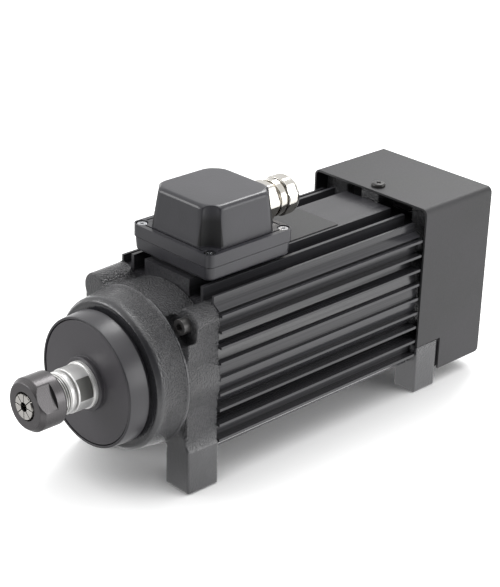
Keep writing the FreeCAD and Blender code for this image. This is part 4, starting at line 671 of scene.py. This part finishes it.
# A copy remade as a casting: one skin of small faces, its edges and valleys run soft
def castSkin(piece, nodeName):
    grid = piece.modifiers.new("skin", "REMESH")
    grid.mode = "VOXEL"
    grid.voxel_size = casting["voxel"] * mm
    grid.use_smooth_shade = True
    soft = piece.modifiers.new("soft", "SMOOTH")
    soft.factor = casting["softness"]
    soft.iterations = casting["passes"]
    fewer = piece.modifiers.new("fewer", "DECIMATE")
    fewer.ratio = casting["kept"]
    adopt(piece, nodeName)


# The cast front with its nose sunk a little, so that the turned nose lies over it
def frontCasting():
    front = spanY("front_shield")[0] - casting["margin"]
    face = spanY("front_shield")[0] + nose["length"] + casting["margin"]
    piece = mergedCopy("front_shield", "front_shield.cast")

    def sunk(y, radius):
        covered = (y < face) & (y > front) & (radius > casting["underFrom"])
        return np.where(covered, 1 - casting["under"] / radius, 1.0)
    scaleAboutAxis(piece, sunk)
    castSkin(piece, "front_shield")


# Turned nose of the casting: chamfered front edge, slight taper, a bead where it meets the barrel
def castNose():
    front = spanY("front_shield")[0]
    first = front - nose["proud"]
    face = front + nose["length"]
    top = reachX("front_shield")
    foot = top - nose["step"]
    beadFront = face - nose["bead"]
    piece = turnedPiece("castNose", [
        (nose["seat"], first, 0.1), (nose["edgeRadius"] - nose["edge"], first, 0.7),
        (nose["edgeRadius"], front + nose["edge"], 1.0), (top - nose["beadRise"], beadFront - 0.5, 0.4),
        (top, beadFront + 0.2, 0.5), (top, face - 0.2, 0.5), (foot, face + 0.6, 0.4),
        (foot - nose["tuck"], face + nose["tuck"], 0.3), (nose["seat"], face + nose["tuck"], 0.3)],
        nose["turns"])
    adopt(piece, "front_shield")


rear = {"sheet": 1.5, "clear": 0.4, "footSet": 0.2, "footLength": 20.6, "earWidth": 20.0,
        "earSet": 10.0, "earLength": 8.0, "earLow": 36.0, "earHigh": 60.0, "ribWidth": 4.8,
        "ribSet": 2.0, "ribLength": 8.0, "ribRaise": 0.6, "ribTop": 36.5}


# The cast back, with an ear in each upper corner of the hood and a rib behind each foot
def rearCasting():
    piece = mergedCopy("rear_shield", "rear_shield.cast")
    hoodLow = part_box("fan_hood")[0] / mm
    inside = reachX("fan_hood") - rear["sheet"] - rear["clear"]
    footFront = hoodLow.y + rear["footSet"]
    footBack = footFront + rear["footLength"]
    earFront = footFront + rear["earSet"]
    ear = ((inside - rear["earWidth"], earFront, axisZ / mm + rear["earLow"]),
           (inside, earFront + rear["earLength"], axisZ / mm + rear["earHigh"]))
    rib = ((inside - rear["ribWidth"], footBack - rear["ribSet"], hoodLow.z + rear["ribRaise"]),
           (inside, footBack + rear["ribLength"], rear["ribTop"]))
    for side in (1, -1):
        for low, high in (ear, rib):
            left, right = sorted((low[0] * side, high[0] * side))
            addBox(piece, (left, *low[1:]), (right, *high[1:]))
    castSkin(piece, "rear_shield")


frontCasting()
castNose()
rearCasting()
print("castings done")


# Extruded body, bent sheet and box base, each with the width of its broken edges

bodyEdges = {"stator_housing": 0.35, "fan_hood": 0.35, "hood_grille": 0.25, "terminal_box_base": 0.6}
for nodeName, width in bodyEdges.items():
    broken(nodeName, width)


# Terminal box lid: its rim comes from the node, its dome is a drafted shell over a rounded
# square whose corners are hollowed round the screws

# Distance from the middle to a rounded square of this half width, along each angle: the straight
# side where the ray meets it before the corner starts, otherwise the corner's circle
def roundedSquare(angle, half, corner):
    c, s = np.abs(np.cos(angle)), np.abs(np.sin(angle))
    side = half / np.maximum(c, s)
    centre = half - corner
    along = centre * (c + s)
    arc = along + np.sqrt(np.maximum(along ** 2 - 2 * centre ** 2 + corner ** 2, 0))
    return np.where(np.minimum(c, s) * side <= centre, side, arc)


# Distance to the near side of a round hollow on the diagonal, endless where the ray misses it
def hollow(angle, place, radius):
    along = place * (np.abs(np.cos(angle)) + np.abs(np.sin(angle)))
    inside = along ** 2 - 2 * place ** 2 + radius ** 2
    return np.where(inside > 0, along - np.sqrt(np.maximum(inside, 0)), np.inf)


# The smaller of two distances, rounded where they cross over a width of blend
def roundedMin(a, b, blend):
    h = np.maximum(blend - np.abs(a - b), 0) / blend
    return np.minimum(a, b) - h * h * blend / 4


# Rows of (inset from the dome's foot, height above the rim) from the foot over the edge to the top
def domeRows(top, shift):
    draft = math.radians(lid["draft"])
    edge = lid["edge"] - shift * lid["edgeThin"]
    centreZ = top - edge
    wallTop = centreZ + edge * math.sin(draft)
    edgeInset = wallTop * math.tan(draft) + edge * math.cos(draft)
    lowRows, highRows, arcRows = lid["rows"]
    dense = wallTop - lid["denseFrom"]
    wall = np.concatenate([np.linspace(-lid["foot"], dense - 0.4, lowRows),
                           np.linspace(dense, wallTop, highRows)])
    arc = np.linspace(draft, math.pi / 2, arcRows)[1:]
    inset = np.concatenate([wall * math.tan(draft), edgeInset - edge * np.cos(arc)])
    return inset + shift, np.concatenate([wall, centreZ + edge * np.sin(arc)])


# One side of the dome's wall as a grid: distance r(angle, row) about the dome's middle
def domeSkin(angle, top, half, place, shift):
    inset, height = domeRows(top - shift, shift)
    corner = lid["corner"] - lid["cornerShrink"] * (inset - shift) - shift * lid["cornerThin"]
    square = roundedSquare(angle[:, None], half - inset, np.maximum(corner, lid["cornerLeast"]))
    flute = hollow(angle[:, None], place - lid["lean"] * height, lid["flute"] + shift)
    r = roundedMin(square, flute, lid["blend"])
    rings = r[:, -1:] * np.array(lid["topRings"])
    ringHeight = np.full(len(lid["topRings"]), height[-1])
    return np.concatenate([r, rings], 1), np.concatenate([height, ringHeight])


# Outer and inner skin as one closed grid: x = r cos a, y = middle + r sin a, z by the row
def lidDome():
    low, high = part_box("terminal_box_lid")
    rimTop = low.z + lid["rim"] * mm
    sizes = (high.z - rimTop) / mm, high.x / mm - lid["inset"], high.x / mm - lid["fluteInset"]
    angle = (np.arange(lid["turns"]) + 0.5) * 2 * np.pi / lid["turns"]
    outer, outerZ = domeSkin(angle, *sizes, 0.0)
    inner, innerZ = domeSkin(angle, *sizes, lid["wall"])
    r = np.concatenate([outer, inner[:, ::-1]], 1) * mm
    z = np.concatenate([outerZ, innerZ[::-1]]) * mm + rimTop
    verts = np.stack([r * np.cos(angle)[:, None], (low.y + high.y) / 2 + r * np.sin(angle)[:, None],
                      np.repeat(z[None, :], len(angle), 0)], -1).reshape(-1, 3)
    piece = newObject("lidDome", verts.tolist(), ringFaces(*r.shape))
    closeSkin(piece)
    smooth(piece, lid["crease"])
    adopt(piece, "terminal_box_lid")


# The node cut off just above its rim and closed there
def lidRim():
    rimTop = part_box("terminal_box_lid")[0].z + (lid["rim"] + lid["rimCut"]) * mm

    def cutOff(work):
        bmesh.ops.bisect_plane(work, geom=work.verts[:] + work.edges[:] + work.faces[:],
                               dist=merging["touching"], plane_co=(0, 0, rimTop), plane_no=(0, 0, 1),
                               clear_outer=True)
        openEdges = [edge for edge in work.edges if edge.is_boundary]
        bmesh.ops.triangle_fill(work, edges=openEdges, use_beauty=True, use_dissolve=True)
        bmesh.ops.recalc_face_normals(work, faces=work.faces)
    piece = mergedCopy("terminal_box_lid", "lidRim")
    edited(piece, cutOff)
    smooth(piece, lid["rimCrease"])
    bevel(piece, lid["rimEdge"], 3, lid["rimCrease"])
    adopt(piece, "terminal_box_lid")


# Round boss that carries the cable gland
def lidBoss():
    face = spanY("gland_seal")[0]
    back = face - lid["bossLength"]
    reach = reachX("gland_dome_nut")
    piece = turnedPiece("lidBoss", [
        (lid["bossBore"], back, 0.2), (reach, back, 0.2), (reach, face, lid["bossEdge"]),
        (lid["bossBore"], face, 0.2)], lid["bossTurns"], centreZ=glandZ)
    adopt(piece, "terminal_box_lid")


lidDome()
lidRim()
lidBoss()
print("body, hood and box done")


# Small pieces, each with the width of its broken edges

smallEdges = {"front_shield_screws": 0.4, "rear_shield_screws": 0.4, "hood_screw": 0.3, "lid_screws": 0.25,
              "terminal_box_gasket": 0.2, "name_plate": 0.15, "gland_seal": 0.3, "fan_wheel": 0.3,
              "bearing_cover_screws": 0.3, "lid_gasket": 0.1}
for nodeName, width in smallEdges.items():
    broken(nodeName, width)


# Turned pieces round the spindle axis. In a profile the third number is a corner's rounding.

cover = {"rimWidth": 1.6, "recess": 4.2, "neck": 18.1, "wall": 4.0, "seat": 30.95, "lip": 41.6,
         "spigot": 4.0, "shoulder": 2.6, "bore": 24.5}


# Profile round the axis: neck, recess, thin rim, slope to the groove, shoulder, spigot and bore
def bearingCover():
    front, back = spanY("front_bearing_cover")
    reach = reachX("front_bearing_cover")
    groove = spanY("labyrinth_disc")[1]
    first = back - cover["spigot"]
    inner = cover["lip"] - cover["rimWidth"]
    floorY = front + cover["recess"]
    wallY = floorY + cover["wall"]
    shoulder = reach - cover["shoulder"]
    piece = turnedPiece("bearingCover", [
        (cover["neck"], floorY, 0.2), (inner, floorY, 0.4), (inner, front, 0.35),
        (cover["lip"], front, 0.6), (reach, groove, 0.5), (shoulder, groove, 0.3),
        (shoulder, first, 0.2), (cover["seat"], first, 0.2), (cover["seat"], back, 0.3),
        (cover["bore"], back, 0.3), (cover["bore"], wallY, 0.3), (cover["neck"], wallY, 0.2)])
    adopt(piece, "front_bearing_cover")


disc = {"hub": 17.4, "rise": 3.0, "thickness": 3.2, "bore": 15.0}


# Profile round the axis: a flat disc on a short hub
def labyrinthDisc():
    front, back = spanY("labyrinth_disc")
    reach = reachX("labyrinth_disc")
    face = front + disc["rise"]
    behind = face + disc["thickness"]
    piece = turnedPiece("labyrinthDisc", [
        (disc["bore"], front, 0.1), (disc["hub"], front, 0.7), (disc["hub"], face, 0.35),
        (reach, face, 0.45), (reach, behind, 0.3), (disc["hub"], behind, 0.3),
        (disc["hub"], back, 0.3), (disc["bore"], back, 0.1)])
    adopt(piece, "labyrinth_disc")


nut = {"radius": 17.0, "nose": 14.6, "noseLength": 3.2, "flat": 14.7, "flatLength": 11.5, "flats": 2,
       "turn": 58.0, "step": 0.3, "backEdge": 1.0, "mouth": 9.08, "cone": 10.8, "coneDepth": 2.6,
       "cavity": 12.1, "seatDepth": 5.7, "bore": 12.6, "between": (0.2, 0.8, 9), "turns": 240}


# Round nut with two flats on its front part. The flats cut a leaning cone round the front,
# so that each flat ends in a curved edge. The cone has points between its ends for that.
def clampingNut():
    front, back = spanY("clamping_nut")
    coneBack = front + nut["coneDepth"]
    seatFront = front + nut["seatDepth"]
    flatBack = front + nut["flatLength"]
    cone = [(nut["nose"] + (nut["radius"] - nut["nose"]) * t, front + nut["noseLength"] * t, 0.0)
            for t in np.linspace(*nut["between"])]
    piece = turnedPiece("clampingNut", [
        (nut["mouth"], front, 0.15), (nut["nose"], front, 0.5), *cone,
        (nut["radius"], front + nut["noseLength"], 0.6), (nut["radius"], flatBack, 0.0),
        (nut["radius"], flatBack + nut["step"], 0.0), (nut["radius"], back - nut["backEdge"], 0.5),
        (nut["radius"] - nut["backEdge"], back, 0.3), (nut["bore"], back, 0.3),
        (nut["bore"], seatFront, 0.2), (nut["cavity"], seatFront, 0.2), (nut["cavity"], coneBack, 0.2),
        (nut["cone"], coneBack, 0.1)],
        nut["turns"], flats(nut["flat"], front - 1, flatBack + 0.01, nut["flats"], nut["turn"]), steps=8)
    adopt(piece, "clamping_nut")


collet = {"face": 7.95, "drawnFrom": 7.9, "length": 2.0, "edge": 0.12}


# The collet, its rim drawn in so that a dark gap shows round its face
def colletPiece():
    last = spanY("clamping_nut")[0] + collet["length"]
    piece = mergedCopy("collet", "collet.edged")
    scaleAboutAxis(piece, lambda y, radius: np.where(
        (y < last) & (radius > collet["drawnFrom"]), collet["face"] / radius, 1.0))
    smooth(piece)
    bevel(piece, collet["edge"])
    adopt(piece, "collet")


# The shaft with two spanner flats. Its nose thread is a V wave in y that turns with the angle.
def spindleShaft():
    front, back = spanY("spindle_shaft")
    discFront = spanY("labyrinth_disc")[0]
    threadBack = spanY("clamping_nut")[1] - shaft["threadUnder"]
    collarFront = discFront - shaft["collarLength"]
    ringBack = collarFront - shaft["reliefLength"]
    ringFront = ringBack - shaft["ringLength"]
    flangeFront = discFront - shaft["flangeLength"]
    shoulderFront = spanY("front_inner_rings")[1]
    shoulderBack = shoulderFront + shaft["shoulderLength"]
    rearFront, rearBack = spanY("rear_inner_ring")
    tailFront = rearBack + shaft["tailSet"]
    coreBack = spanY("rotor_end_rings")[1]
    flatFront, flatBack = flatSpan()
    corners = [
        (shaft["ring"], ringFront, 0.35),
        *[(shaft["thread"], y, 0.0) for y in np.arange(ringFront - 0.2, threadBack, -shaft["threadStep"])],
        (shaft["thread"], front + shaft["tip"], 0.2), (shaft["thread"] - shaft["tip"], front, 0.2),
        (shaft["mouth"], front, 0.1), (shaft["taperEnd"], front + shaft["taperLength"], 0.0),
        (0.0, front + shaft["boreLength"], 0.0), (0.0, back, 0.0),
        (shaft["tail"] - shaft["tailEdge"], back, 0.2), (shaft["tail"], back - shaft["tailEdge"], 0.2),
        (shaft["tail"], tailFront, 0.2), (shaft["rearSeat"], tailFront, 0.3),
        (shaft["rearSeat"], rearFront, 0.3), (shaft["rear"], rearFront, 0.4),
        (shaft["rear"], coreBack, 0.4), (shaft["core"], coreBack, 0.4), (shaft["core"], shoulderBack, 0.4),
        (shaft["shoulder"], shoulderBack, 0.5), (shaft["shoulder"], shoulderFront, 0.5),
        (shaft["frontSeat"], shoulderFront, 0.3), (shaft["frontSeat"], discFront + 1.0, 0.0),
        (shaft["flange"], flangeFront, 0.5), (shaft["collar"], flangeFront, 0.2),
        (shaft["collar"], flatBack + 0.02, 0.0), (shaft["collar"], flatBack, 0.0),
        (shaft["collar"], flatFront, 0.0), (shaft["collar"], flatFront - 0.02, 0.0),
        (shaft["collar"], collarFront, 0.6), (shaft["relief"], collarFront, 0.3),
        (shaft["relief"], ringBack, 0.3), (shaft["ring"], ringBack, 0.35)]
    collarFlats = flats(shaft["flat"], flatFront - 0.001, flatBack + 0.001, 2, 90 - shaft["flatTurn"])

    def shape(a, r, y):
        r = collarFlats(a, r, y)
        wave = np.abs(((y / mm / shaft["pitch"] - a / (2 * np.pi)) % 1.0) - 0.5) * 2
        threaded = (y < (ringFront - 0.5) * mm) & (y > threadBack * mm) & (r > shaft["threadLeast"] * mm)
        return np.where(threaded, r - wave * shaft["cut"] * mm, r)
    piece = turnedPiece("spindleShaft", corners, 192, shape, steps=3)
    adopt(piece, "spindle_shaft")


bearingCover()
labyrinthDisc()
clampingNut()
colletPiece()
spindleShaft()
print("turned pieces done")


# Cable gland, round its own axis

gland = {"bore": 7.5, "thread": 9.95, "hex": 12.0, "corner": 13.4, "hexLength": 14.0,
         "faceEdge": (1.2, 0.8), "backEdge": (1.8, 1.2), "neck": 10.4, "collar": 12.3,
         "collarSet": 1.5, "collarLength": 5.0, "turns": 216}
cap = {"hex": 12.6, "radius": 13.4, "inner": 10.4, "bore": 6.8, "frontEdge": 0.9, "shoulder": 4.2,
       "flatEnd": 3.4, "crown": (1.6, 0.9), "brim": 3.6, "mouthEdge": 0.5}


# Profile round the gland's axis: thread, hexagon held inside six flats, neck and collar
def glandBody():
    front, back = spanY("gland_body")
    hexFront = spanY("gland_seal")[1]
    hexBack = hexFront + gland["hexLength"]
    collarFront = hexBack + gland["collarSet"]
    collarBack = collarFront + gland["collarLength"]
    corner = gland["corner"]
    piece = turnedPiece("glandBody", [
        (gland["bore"], front, 0.2), (gland["thread"], front, 0.4), (gland["thread"], hexFront, 0.1),
        (corner - gland["faceEdge"][0], hexFront, 0.1), (corner, hexFront + gland["faceEdge"][1], 0.2),
        (corner, hexBack - gland["backEdge"][1], 0.3), (corner - gland["backEdge"][0], hexBack, 0.2),
        (gland["neck"], hexBack, 0.2), (gland["neck"], collarFront, 0.2),
        (gland["collar"], collarFront, 0.4), (gland["collar"], collarBack, 0.4),
        (gland["neck"], collarBack, 0.2), (gland["neck"], back, 0.2), (gland["bore"], back, 0.2)],
        gland["turns"], flats(gland["hex"], hexFront - 0.1, hexBack + 0.1, 6), glandZ)
    adopt(piece, "gland_body")


# Profile round the gland's axis: a hexagon that runs over into a round crown
def glandCap():
    front, back = spanY("gland_dome_nut")
    radius, edge = cap["radius"], cap["frontEdge"]
    piece = turnedPiece("glandCap", [
        (cap["inner"], front, 0.1), (radius - edge, front, 0.2), (radius, front + edge, 0.3),
        (radius, back - cap["shoulder"], 1.0), (radius - cap["crown"][0], back - cap["crown"][1], 1.2),
        (radius - cap["brim"], back, 0.6), (cap["bore"] + cap["mouthEdge"], back, 0.5),
        (cap["bore"], back - 1.0, 0.3), (cap["bore"], front + 1.0, 0.1),
        (cap["inner"], front + 1.0, 0.1)],
        gland["turns"], flats(cap["hex"], front - 0.1, back - cap["flatEnd"], 6), glandZ)
    adopt(piece, "gland_dome_nut")


glandBody()
glandCap()
print("gland done")
